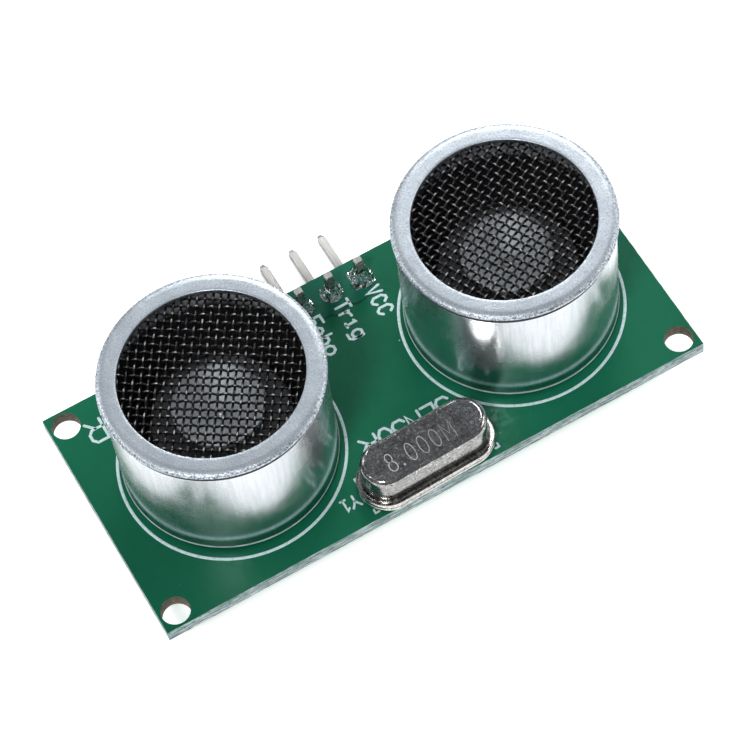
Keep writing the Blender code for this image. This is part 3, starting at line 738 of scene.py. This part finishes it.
def build_can(prefix):
    low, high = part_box(f"{prefix}_can")
    axis = AXES[prefix]
    rim_radius = (high.x - low.x) / 2
    radius = rim_radius - CAN_RIM_OVERHANG
    inner = radius - CAN_WALL
    top, bottom = high.z, low.z
    shoulder_low = top - RIM_SHOULDER_HEIGHT
    profile = arc((CAN_OPENING + RIM_LIP, top - RIM_LIP), (RIM_LIP, RIM_LIP), 180, 90, 4)
    profile += [(CAN_OPENING + 0.25 * MM, top), (RIM_SHOULDER_START - 0.2 * MM, top)]
    profile += arc((RIM_SHOULDER_START, shoulder_low), (rim_radius - RIM_SHOULDER_START, RIM_SHOULDER_HEIGHT),
                   90, 0, 12)
    profile += arc((rim_radius - 0.3 * MM, shoulder_low), (0.3 * MM, 0.32 * MM), -15, -90, 6)
    rim_points = len(profile)
    profile += [(radius - 0.2 * MM, top - 0.68 * MM), (radius - 0.18 * MM, top - 0.8 * MM),
                (radius - 0.06 * MM, top - 0.92 * MM), (radius, top - 1.02 * MM)]
    crease_points = len(profile)
    wall_top, wall_bottom = top - 1.08 * MM, bottom + 0.13 * MM
    profile += [(radius, wall_top + (wall_bottom - wall_top) * i / WALL_ROWS) for i in range(WALL_ROWS + 1)]
    outer_points = len(profile)
    profile += [(radius + 0.05 * MM, bottom + 0.05 * MM), (radius + 0.04 * MM, bottom + 0.01 * MM),
                (radius - 0.04 * MM, bottom)]
    foot_points = len(profile)
    rim_low = top - RIM_THICKNESS
    profile += [(inner, bottom), (inner, rim_low), (CAN_OPENING + 0.06 * MM, rim_low),
                (CAN_OPENING, rim_low + 0.06 * MM)]
    rim, wall, inside, crease, foot = range(5)
    # the crease band carries painted shade
    bands = [rim] * (rim_points - 2) + [crease] * (crease_points - rim_points + 1)
    # the foot band carries a painted highlight
    bands += [wall] * (outer_points - crease_points) + [foot] * (foot_points - outer_points + 1)
    bands += [inside] * (len(profile) - len(bands) - 2) + [rim, rim]
    mesh_data = turned(profile, CAN_STEPS, axis, bands=bands, waver=0.003 * MM)
    finishes = ["rim", "can", "inside", "crease", "foot"]
    show(f"{prefix}_can_shell", mesh_data, finishes, [f"{prefix}_can"], sharp=50)


WIRE_RADIUS = 0.1 * MM
WARP_PITCH = 0.56 * MM
WEFT_PITCH = 0.64 * MM
WIRE_SIDES = 7
POINTS_PER_PITCH = 6
SCREEN_TURNS = {"receiver": 56.5, "transmitter": 26.0}


def woven_wires(radius, pitch, step_pitch, phase):
    """Flat wave lines of one direction of a plain weave, clipped to a disc."""
    reach = int(radius / pitch)
    lift = WIRE_RADIUS * 1.03
    lines = []
    for number in range(-reach, reach + 1):
        across = number * pitch
        half = math.sqrt(max(0.0, radius ** 2 - across ** 2))
        steps = int(2 * half / step_pitch * POINTS_PER_PITCH)
        if steps < POINTS_PER_PITCH:
            continue
        sign = phase if number % 2 else -phase
        line = []
        for step in range(steps + 1):
            along = -half + 2 * half * step / steps
            bend = 0.035 * MM * noise.noise(Vector((along / MM * 0.35, across / MM * 2.0, phase * 9.0)))
            line.append((along, across + bend, sign * lift * math.cos(math.pi * along / step_pitch)))
        lines.append(line)
    return lines


def build_screen(prefix):
    low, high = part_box(f"{prefix}_screen")
    axis = AXES[prefix]
    radius = (high.x - low.x) / 2 - 0.1 * MM
    level = (low.z + high.z) / 2
    turn = Matrix.Rotation(math.radians(SCREEN_TURNS[prefix]), 4, "Z")
    place = Matrix.Translation((axis.x, axis.y, level)) @ turn
    mesh_data = bmesh.new()
    directions = ((woven_wires(radius, WARP_PITCH, WEFT_PITCH, 1), False),
                  (woven_wires(radius, WEFT_PITCH, WARP_PITCH, -1), True))
    for lines, swapped in directions:
        for line in lines:
            points = [Vector((b, a, z)) if swapped else Vector((a, b, z)) for a, b, z in line]
            side = Vector((1.0, 0.0, 0.0)) if swapped else Vector((0.0, 1.0, 0.0))
            rings = []
            for i, point in enumerate(points):
                along = (points[min(i + 1, len(points) - 1)] - points[max(i - 1, 0)]).normalized()
                other = along.cross(side)
                rings.append([point + (side * x + other * y) for x, y in circle(WIRE_RADIUS, WIRE_SIDES)])
            add_rings(mesh_data, rings)
    mesh_data.transform(place)
    show(f"{prefix}_mesh", mesh_data, ["wire"], [f"{prefix}_screen"], sharp=60)


def build_vibrator(prefix):
    """Horn and diaphragm, seen through the screen."""
    axis = AXES[prefix]
    low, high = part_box(f"{prefix}_horn")
    mouth, bottom, top = (high.x - low.x) / 2, low.z, high.z
    neck, wall = 0.9 * MM, 0.26 * MM
    floor = bottom + 0.5 * MM
    rise = top - floor
    inner = [(neck + (mouth - wall - neck) * share, floor + rise * share ** 1.15) for share in
             (0.0, 0.1, 0.25, 0.45, 0.65, 0.85, 1.0)]
    lip = arc((mouth - wall / 2, top - wall / 2), (wall / 2, wall / 2), 100, -30, 5)
    outer = [(neck + (mouth - neck) * share, bottom + (rise - wall) * share ** 1.15) for share in
             (0.9, 0.7, 0.5, 0.3, 0.15, 0.04)]
    profile = [(neck * 0.45, floor - 0.1 * MM), (neck * 0.75, floor - 0.06 * MM)] + inner + lip + outer
    profile += [(neck, bottom), (neck * 0.45, bottom)]
    cone = turned(profile, TURNED_STEPS, axis, waver=0.03 * MM)
    dome = arc((0.0, floor), (0.36 * MM, 0.3 * MM), 84, -20, 9)
    rivet = turned(dome, 32, axis, closed=False)
    mesh_data = merge([cone, rivet], [0, 1])
    show(f"{prefix}_cone", mesh_data, ["horn", "tin"], [f"{prefix}_horn"])
    low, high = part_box(f"{prefix}_diaphragm")
    radius, edge = (high.x - low.x) / 2, 0.06 * MM
    profile = [(0.0003 * MM, high.z)]
    profile += [(radius * share, high.z - sink * MM) for share, sink in
                ((0.3, 0.0), (0.55, 0.0), (0.72, 0.05), (0.78, 0.06), (0.84, 0.0), (0.95, 0.0))]
    profile += arc((radius - edge, high.z - edge), (edge, edge), 90, 0, 3)
    profile += [(radius, low.z + edge), (radius - edge, low.z), (0.0003 * MM, low.z)]
    mesh_data = turned(profile, TURNED_STEPS, axis)
    show(f"{prefix}_bender", mesh_data, ["diaphragm"], [f"{prefix}_diaphragm"])


def build_terminals(prefix):
    for number in (1, 2):
        node = f"{prefix}_terminal_{number}"
        low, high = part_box(node)
        radius = (high.x - low.x) / 2
        dome = arc((0.0, low.z + radius * 0.5), (radius, radius * 0.5), -80, 0, 7)
        profile = dome + [(radius, high.z - 0.1 * MM), (radius * 0.7, high.z)]
        show(f"{prefix}_post_{number}", turned(profile, 40, flat(middle(node)), closed=False), ["tin"],
             [node])


# ---------------------------------------------------------------- solder

SOLDER_STEPS = 44


def solder_cone(place, hole_radius, foot_radius, start, height, seed, lumps=0.16, square=0.0):
    """Frozen puddle of solder that climbs a wire; a negative height hangs it under the board."""
    flank = [(1.0, 0.0), (0.97, 0.05), (0.88, 0.13), (0.74, 0.22), (0.58, 0.33), (0.42, 0.48), (0.28, 0.66),
             (0.16, 0.84), (0.06, 1.0)]
    spread = foot_radius - hole_radius
    mesh_data = bmesh.new()
    rings = []
    for share, rise in flank:
        ring = []
        for x, y in circle(1.0, SOLDER_STEPS):
            lump = noise.noise(Vector((x * 1.6, y * 1.6, seed * 3.7))) + 0.5 * noise.noise(
                Vector((x * 4.0, y * 4.0, rise * 2.0 + seed * 5.1)))
            reach = hole_radius + spread * share * (1.0 + lumps * 2.0 * lump * (1.0 - 0.5 * rise))
            corner = 1.0 + square * (1.0 / max(abs(x), abs(y)) - 1.0)
            climb = height * rise * (1.0 + lumps * 1.8 * lump)
            ring.append((place.x + reach * corner * x, place.y + reach * corner * y, start + climb))
        rings.append(ring)
    inner = [(place.x + hole_radius * x * 0.96, place.y + hole_radius * y * 0.96)
             for x, y in circle(1.0, SOLDER_STEPS)]
    rings.append([(x, y, start + height * 0.97) for x, y in inner])
    rings.append([(x, y, start) for x, y in inner])
    add_rings(mesh_data, rings, close_loop=True)
    return mesh_data


def pad(place, radius, level, square=0.0):
    """Thin tinned copper land on one face of the board."""
    away = 1.0 if level >= 0.0 else -1.0
    rings = []
    for share, lift in ((1.0, 0.0), (0.985, 0.8), (0.95, 1.0)):
        ring = []
        for x, y in circle(1.0, SOLDER_STEPS):
            corner = 1.0 + square * (1.0 / max(abs(x), abs(y)) - 1.0)
            reach = radius * share * corner
            ring.append((place.x + reach * x, place.y + reach * y, level + away * lift * COPPER))
        rings.append(ring)
    mesh_data = bmesh.new()
    add_rings(mesh_data, rings)
    return mesh_data


def build_solder():
    front = 0.0
    for number, place in enumerate(PIN_ROW, 1):
        square = 0.85 if number == PIN_COUNT else 0.0
        land = pad(place, 0.9 * MM, front, square)
        cone = solder_cone(place, 0.38 * MM, 0.86 * MM, COPPER, 1.05 * MM, number, 0.3, square * 0.5)
        show(f"header_joint_{number}", merge([land, cone]), ["solder"],
             [f"header_solder_{number}"])
    back = [(f"{prefix}_solder_{i}", TERMINALS[2 * side + i - 1], 0.42, 1.15, 0.95)
            for side, prefix in enumerate(TRANSDUCERS) for i in (1, 2)]
    back += [(f"crystal_solder_{i}", CRYSTAL_LEADS[i - 1], 0.24, 0.82, 0.75) for i in (1, 2)]
    for seed, (node, place, hole, foot, height) in enumerate(back, 11):
        land = pad(place, foot * 1.04 * MM, BOARD_BACK)
        cone = solder_cone(place, hole * MM, foot * MM, BOARD_BACK - COPPER, -height * MM, seed, 0.12)
        show(node.replace("solder", "joint"), merge([land, cone]), ["solder"], [node])


# ---------------------------------------------------------------- crystal

def build_crystal():
    cap_low, cap_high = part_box("crystal_can")
    foot_low, foot_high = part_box("crystal_base")
    length, width = 10.2 * MM, 3.7 * MM
    top = cap_high.z

    def layered(profile, name, finishes, node, bands=None):
        rings = [[(x, y, z) for x, y in stadium(length + 2 * out, width + 2 * out)]
                 for out, z in profile]
        mesh_data = bmesh.new()
        add_rings(mesh_data, rings, bands=bands)
        mesh_data.transform(CRYSTAL_PLACE)
        show(name, mesh_data, finishes, [node], sharp=40)

    edge = 0.45 * MM
    seam = cap_low.z
    skirt = [(0.465, 0.0), (0.475, 0.1), (0.46, 0.24), (0.41, 0.32), (0.36, 0.31), (0.32, 0.19), (0.27, 0.19),
             (0.23, 0.33), (0.17, 0.33), (0.13, 0.2), (0.07, 0.22), (0.015, 0.36), (0.0, 0.48)]
    profile = [(out * MM, seam + z * MM) for out, z in skirt]
    skirt_points = len(profile)
    rows = 8
    wall_low, wall_high = seam + 0.6 * MM, top - edge
    profile += [(0.0, wall_low + (wall_high - wall_low) * i / rows) for i in range(rows + 1)]
    profile += arc((-edge, top - edge), (edge, edge), 10, 90, 9)
    profile += [(-edge - 0.12 * MM, top - 0.012 * MM), (-edge - 0.3 * MM, top - 0.02 * MM)]
    bands = [1] * (skirt_points - 1) + [0] * (len(profile) - skirt_points)
    layered(profile, "crystal_cap", ["crystal", "flange"], "crystal_can", bands)

    rise = foot_high.z - foot_low.z
    sole = [(0.3, 0.0), (0.42, 0.02), (0.47, 0.1), (0.475, 0.2), (0.46, 0.3), (0.4, 0.36), (-0.33, 0.37)]
    profile = [(out * MM, foot_low.z + z * MM) for out, z in sole]
    profile.append((-0.36 * MM, foot_low.z + rise))
    layered(profile, "crystal_foot", ["flange"], "crystal_base")

    mark = lettering("8.000M", Vector((-3.2, -1.07)) * MM, 0, 1.02 * MM, 1.5 * MM, 0.075 * MM,
                     top - 0.02 * MM, 0.012 * MM)
    mesh_data = merge(mark)
    mesh_data.transform(CRYSTAL_PLACE)
    show("crystal_marking", mesh_data, ["engraved"])

    for number, place in enumerate(CRYSTAL_LEADS, 1):
        node = f"crystal_lead_{number}"
        low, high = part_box(node)
        radius = (high.x - low.x) / 2
        profile = [(radius * 0.6, low.z), (radius, low.z + 0.06 * MM), (radius, high.z)]
        show(f"crystal_wire_{number}", turned(profile, 32, place, closed=False), ["tin"], [node])


# ---------------------------------------------------------------- header

PIN_WIDTH = 0.64 * MM
PIN_CORNER = 0.05 * MM
PIN_BEND_RADIUS = 0.42 * MM


def square_ring(point, side, across, half_side, half_across):
    """Eight points round a square bar with softened corners."""
    a, b = half_side, half_across
    cut = min(PIN_CORNER, 0.4 * a)
    corners = [(a, b - cut), (a - cut, b), (cut - a, b), (-a, b - cut), (-a, cut - b), (cut - a, -b),
               (a - cut, -b), (a, cut - b)]
    return [point + side * x + across * y for x, y in corners]


def build_pin(number):
    node = f"header_pin_{number}"
    low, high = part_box(node)
    x = (low.x + high.x) / 2
    row_y = low.y + PIN_WIDTH / 2
    axis_z = low.z + PIN_WIDTH / 2
    bend = arc((row_y + PIN_BEND_RADIUS, axis_z + PIN_BEND_RADIUS), (PIN_BEND_RADIUS,) * 2, 180, 270, 10)
    taper, blunt = 0.4 * MM, 0.58
    stub = [(row_y, high.z), (row_y, high.z - 0.06 * MM), (row_y, high.z - 0.3 * MM), (row_y, 0.3 * MM)]
    tail = [(high.y - back, axis_z) for back in (3.5 * MM, taper, 0.04 * MM, 0.0)]
    path = [Vector((x, y, z)) for y, z in stub + bend + tail]
    scales = [0.74, 0.86, 1.0, 1.0] + [1.0] * len(bend) + [1.0, 1.0, blunt, blunt - 0.08]
    side = Vector((1.0, 0.0, 0.0))

    def ring_at(i, point, along):
        across = along.cross(side)
        half = PIN_WIDTH / 2 * scales[i]
        return square_ring(point, side, across, half, half)

    mesh_data = swept(path, ring_at)
    # faces between the board and the tip get the painted board reflection
    for face in mesh_data.faces:
        face.material_index = int(0.0 < face.calc_center_median().z < high.z - 0.2 * MM)
    show(f"header_post_{number}", mesh_data, ["pin", "stub"], [node], sharp=25)


def softened(node, name, width, finishes):
    """Copy of a frame node with its edges rounded off."""
    mesh_data = bmesh.new()
    mesh_data.from_mesh(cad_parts[node].data)
    bmesh.ops.remove_doubles(mesh_data, verts=mesh_data.verts[:], dist=1e-6)
    bmesh.ops.dissolve_limit(mesh_data, angle_limit=math.radians(1.0), verts=mesh_data.verts[:],
                             edges=mesh_data.edges[:])
    bmesh.ops.bevel(mesh_data, geom=mesh_data.edges[:], offset=width, segments=2, profile=0.6,
                    affect="EDGES", clamp_overlap=True)
    show(name, mesh_data, finishes, [node])


# ---------------------------------------------------------------- back of the board

CAP_LENGTH = 0.34 * MM
FILLET = ((0.0, 1.0), (0.06, 0.55), (0.13, 0.25), (0.22, 0.06), (0.28, 0.0))   # reach in mm, share of height


def build_small_part(node, body, glaze):
    """Chip resistor or capacitor with tinned ends and a little solder at each."""
    low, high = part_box(node)
    centre = middle(node)
    height = high.z - low.z
    length, width = high.x - low.x, high.y - low.y
    bodies = [block((length - 2 * CAP_LENGTH * 0.7, width * 0.96, height * 0.94), centre,
                    low.z + height * 0.03, bevel=0.03 * MM)]
    numbers = [0]
    for side in (-1, 1):
        end = centre + Vector((side * (length / 2 - CAP_LENGTH / 2), 0.0, 0.0))
        bodies.append(block((CAP_LENGTH, width, height), end, low.z, bevel=0.05 * MM))
        numbers.append(1)
        foot = centre + Vector((side * length / 2, 0.0, 0.0))
        rings = []
        for out, rise in FILLET:
            half = width / 2 * (1.02 + 0.14 * out)
            x = foot.x + side * out * MM
            lift = max(0.03, rise * 0.8) * height
            corners = ((-half, 0.0), (half, 0.0), (half * 0.9, 1.0), (-half * 0.9, 1.0))
            rings.append([(x, foot.y + y, BOARD_BACK - z * lift) for y, z in corners])
        wedge = bmesh.new()
        add_rings(wedge, rings)
        bodies.append(wedge)
        numbers.append(1)
    finishes = [body, "solder"]
    if glaze:
        bodies.append(block((length - 2 * CAP_LENGTH, width * 0.9, 0.03 * MM), centre, low.z - 0.01 * MM,
                            bevel=0.008 * MM))
        numbers.append(2)
        finishes.append(glaze)
    show(f"{node}_part", merge(bodies, numbers), finishes, [node])


CHIP_LEAD_PITCH = 1.27 * MM
CHIP_LEADS_PER_SIDE = 8


def build_chip():
    low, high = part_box("ranging_chip")
    centre = middle("ranging_chip")
    length, width = 9.9 * MM, 3.9 * MM
    top, bottom = BOARD_BACK - 0.2 * MM, low.z
    height = top - bottom
    rings = []
    for share, depth in ((0.925, 0.0), (0.94, 0.03), (1.0, 0.45), (1.0, 0.55), (0.94, 0.97), (0.925, 1.0)):
        x, y = length / 2 - (1 - share) * 2.2 * MM, width / 2 - (1 - share) * 2.2 * MM
        z = bottom + height * depth
        rings.append([(-x, -y, z), (x, -y, z), (x, y, z), (-x, y, z)])
    body = bmesh.new()
    add_rings(body, rings)
    body.transform(Matrix.Translation(flat(centre)))
    dimple = turned([(0.42 * MM, bottom - 0.004 * MM), (0.36 * MM, bottom - 0.012 * MM),
                     (0.3 * MM, bottom - 0.004 * MM)], 32, centre + Vector((-4.1, 1.1, 0.0)) * MM)
    bodies, numbers = [body, dimple], [0, 0]
    thick, reach = 0.2 * MM, (high.y - low.y) / 2
    knee, foot = (top + bottom) / 2, BOARD_BACK - thick / 2 - COPPER
    shape = [(width / 2 - 0.2 * MM, knee), (width / 2 + 0.12 * MM, knee)]
    shape += arc((width / 2 + 0.12 * MM, knee + 0.16 * MM), (0.16 * MM,) * 2, -75, -20, 3)
    shape += arc((reach - 0.45 * MM, foot - 0.16 * MM), (0.16 * MM,) * 2, 150, 95, 3)
    shape += [(reach - 0.2 * MM, foot), (reach, foot)]
    for side in (-1, 1):
        for i in range(CHIP_LEADS_PER_SIDE):
            x = centre.x + CHIP_LEAD_PITCH * (i - (CHIP_LEADS_PER_SIDE - 1) / 2)
            path = [Vector((x, centre.y + side * y, z)) for y, z in shape]
            right = Vector((1.0, 0.0, 0.0))

            def ring_at(_, point, along, right=right):
                return square_ring(point, right, along.cross(right), 0.21 * MM, thick / 2)

            bodies.append(swept(path, ring_at))
            numbers.append(1)
            spot = Vector((x, centre.y + side * (reach - 0.3 * MM), 0.0))
            bodies.append(block((0.62 * MM, 1.1 * MM, COPPER), spot, BOARD_BACK - COPPER, bevel=0.01 * MM))
            numbers.append(1)
    show("chip_with_leads", merge(bodies, numbers), ["epoxy", "solder"], ["ranging_chip"])


TRACK_WIDTH = 0.35
# Copper runs under the lacquer on the back, as points in millimetres
TRACKS = [
    [(-3.9, 8.34), (-6.2, 8.34), (-8.6, 6.0), (-9.8, 6.2)],
    [(-1.36, 8.34), (-1.36, 5.2), (-0.97, 4.6), (-0.97, 3.1)],
    [(1.18, 8.34), (1.18, 5.4), (0.3, 4.6), (0.3, 3.1)],
    [(3.72, 8.34), (6.4, 8.34), (8.2, 6.6), (9.8, 6.2)],
    [(-4.15, 3.1), (-4.15, 4.4), (-5.2, 5.0), (-6.65, 3.4), (-6.65, 0.55)],
    [(-2.88, 3.1), (-2.88, 5.6), (-4.2, 6.6), (-7.0, 6.6)],
    [(4.75, 3.1), (5.6, 3.9), (7.25, 2.6), (7.25, 0.55)],
    [(3.48, 3.1), (3.48, 5.0), (5.2, 6.2), (9.8, 6.2)],
    [(-2.32, -7.95), (-2.32, -5.0), (-1.6, -4.2), (-1.6, -2.0)],
    [(2.56, -7.85), (2.56, -5.0), (2.2, -4.2), (2.2, -2.0)],
    [(-4.15, -2.0), (-4.15, -4.0), (-5.4, -5.2), (-6.8, -5.2)],
    [(-8.4, -5.2), (-9.8, -6.4)],
    [(-11.4, -6.4), (-12.4, -6.4)],
    [(4.75, -2.0), (4.75, -3.6), (7.6, -6.4), (9.8, -6.4)],
    [(11.4, -6.4), (12.4, -6.4)],
    [(11.4, 6.2), (12.4, 6.2)],
    [(-12.4, 6.2), (-11.4, 6.2)],
    [(-16.65, 0.55), (-16.65, 3.6), (-14.0, 6.2)],
    [(17.25, 0.55), (17.25, 3.4), (14.0, 6.2)],
    [(-14.0, -6.4), (-17.4, -6.4), (-18.6, -5.2), (-18.6, 5.8), (-16.4, 8.0), (-6.2, 8.34)],
    [(14.0, -6.4), (17.6, -6.4), (18.8, -5.2), (18.8, 5.6), (16.0, 8.2), (6.4, 8.34)],
]
VIAS = [(-5.2, 5.0), (5.2, 6.2), (-8.6, 6.0), (7.6, -6.4), (-5.4, -5.2), (-18.6, 0.5), (18.8, 0.5),
        (2.2, -4.2)]
BACK_LABELS = [("U1", (-6.2, -1.6), 1.0), ("R1", (-15.6, 7.6), 0.9), ("C1", (-15.4, -8.4), 0.9)]


def build_back():
    runs = []
    for points in TRACKS:
        line = stroke([(x * MM, y * MM) for x, y in points], TRACK_WIDTH * MM, BOARD_BACK, -COPPER)
        runs.append(line)
    for x, y in VIAS:
        place = Vector((x, y, 0.0)) * MM
        copper_level = BOARD_BACK - COPPER
        profile = [(0.14 * MM, BOARD_BACK), (0.14 * MM, copper_level), (0.36 * MM, copper_level),
                   (0.4 * MM, BOARD_BACK)]
        runs.append(turned(profile, 24, place))
    show("back_tracks", merge(runs), ["track"])
    lines = []
    low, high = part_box("ranging_chip")
    x0, x1, y0, y1 = low.x - 0.3 * MM, high.x + 0.3 * MM, -1.15 * MM, 2.25 * MM
    for points in ([(x0, y0), (x0, y1)], [(x1, y0), (x1, y1)]):
        lines.append(stroke(points, 0.15 * MM, BOARD_BACK, -INK))
    for text, start, size in BACK_LABELS:
        letters = merge(lettering(text, Vector((-start[0], start[1])) * MM, 0, 0.75 * size * MM, size * MM,
                                  0.15 * MM, BOARD_BACK, INK))
        letters.transform(Matrix.Translation((0.0, 0.0, 2 * BOARD_BACK)) @ Matrix.Diagonal((-1, 1, -1, 1)))
        lines.append(letters)
    for node in [f"resistor_{i}" for i in range(1, 6)] + [f"capacitor_{i}" for i in range(1, 5)]:
        centre = middle(node)
        half_x, half_y = 1.5 * MM, 0.75 * MM
        for sy in (-1, 1):
            y = centre.y + sy * half_y
            ends = [(centre.x - half_x, y), (centre.x + half_x, y)]
            lines.append(stroke(ends, 0.15 * MM, BOARD_BACK, -INK))
    show("back_print", merge(lines), ["ink"])


# ---------------------------------------------------------------- nodes kept as they are

KEPT = {"base_plate": "base", "silicone_bed": "silicone", "piezo_disc": "ceramic",
        "lead_1": "lead", "lead_2": "lead"}


def finish_kept_nodes():
    kept = {f"{prefix}_{part}": finish for prefix in TRANSDUCERS for part, finish in KEPT.items()}
    kept.update({"crystal_blank": "quartz", "crystal_seal_1": "glass", "crystal_seal_2": "glass"})
    for node, finish in kept.items():
        for material_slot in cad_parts[node].material_slots:
            material_slot.material = FINISHES[finish]


# ---------------------------------------------------------------- stage, light and camera

CAMERA_PLACE = Vector((-42.56, -110.46, 210.48)) * MM
CAMERA_FORWARD = Vector((0.1781, 0.4587, -0.8706))
CAMERA_RIGHT = Vector((0.8688, -0.4887, -0.0797))
CAMERA_LENS = 156.83
FLOOR_REACH = 1.2


def build_stage():
    level = cad_bounds[0].z
    mesh_data = bmesh.new()
    corners = [mesh_data.verts.new((x * FLOOR_REACH, y * FLOOR_REACH, level))
               for x, y in ((-1, -1), (1, -1), (1, 1), (-1, 1))]
    mesh_data.faces.new(corners)
    mesh = bpy.data.meshes.new("floor")
    mesh_data.to_mesh(mesh)
    mesh_data.free()
    mesh.materials.append(floor_paper())
    floor = bpy.data.objects.new("floor", mesh)
    bpy.context.scene.collection.objects.link(floor)
    floor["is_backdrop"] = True


def soft_light(name, place, target, size, power):
    lamp = bpy.data.lights.new(name, "AREA")
    lamp.shape = "RECTANGLE"
    lamp.size, lamp.size_y = size
    lamp.energy = power
    made = bpy.data.objects.new(name, lamp)
    bpy.context.scene.collection.objects.link(made)
    made.location = place
    made.rotation_euler = (Vector(target) - Vector(place)).to_track_quat("-Z", "Y").to_euler()


def build_light():
    world = bpy.data.worlds.new("studio")
    bpy.context.scene.world = world
    world.use_nodes = True
    background = world.node_tree.nodes["Background"]
    background.inputs["Color"].default_value = (0.9, 0.95, 1.0, 1.0)
    background.inputs["Strength"].default_value = 0.25
    soft_light("key", (-0.22, -0.2, 0.45), (0.0, 0.0, 0.0), (0.09, 0.09), 1.1)
    soft_light("fill", (0.42, -0.05, 0.3), (0.0, 0.0, 0.0), (0.25, 0.25), 0.6)
    soft_light("back", (0.26, 0.42, 0.38), (0.0, 0.0, 0.0), (0.22, 0.12), 1.25)
    soft_light("left", (-0.3, 0.3, 0.35), (0.0, 0.0, 0.0), (0.2, 0.1), 0.5)


def build_camera():
    lens = bpy.data.cameras.new("camera")
    lens.lens = CAMERA_LENS
    lens.clip_start, lens.clip_end = 0.01, 10.0
    made = bpy.data.objects.new("camera", lens)
    bpy.context.scene.collection.objects.link(made)
    forward = CAMERA_FORWARD.normalized()
    right = (CAMERA_RIGHT - forward * CAMERA_RIGHT.dot(forward)).normalized()
    upward = right.cross(forward)
    turned_axes = Matrix((right, upward, -forward)).transposed().to_4x4()
    made.matrix_world = Matrix.Translation(CAMERA_PLACE) @ turned_axes
    bpy.context.scene.camera = made


build_camera()
build_stage()
build_light()
build_board()
build_print()
for transducer in TRANSDUCERS:
    build_can(transducer)
    build_screen(transducer)
    build_vibrator(transducer)
    build_terminals(transducer)
build_crystal()
for pin_number in range(1, PIN_COUNT + 1):
    build_pin(pin_number)
softened("header_housing", "header_block", 0.06 * MM, ["housing"])
build_solder()
for part_number in range(1, 6):
    build_small_part(f"resistor_{part_number}", "alumina", "resistor")
for part_number in range(1, 5):
    build_small_part(f"capacitor_{part_number}", "capacitor", None)
build_chip()
build_back()
finish_kept_nodes()
bpy.context.scene.view_settings.view_transform = "Standard"

corners = [[list(corner) for corner in box] for box in (cad_bounds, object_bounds())]
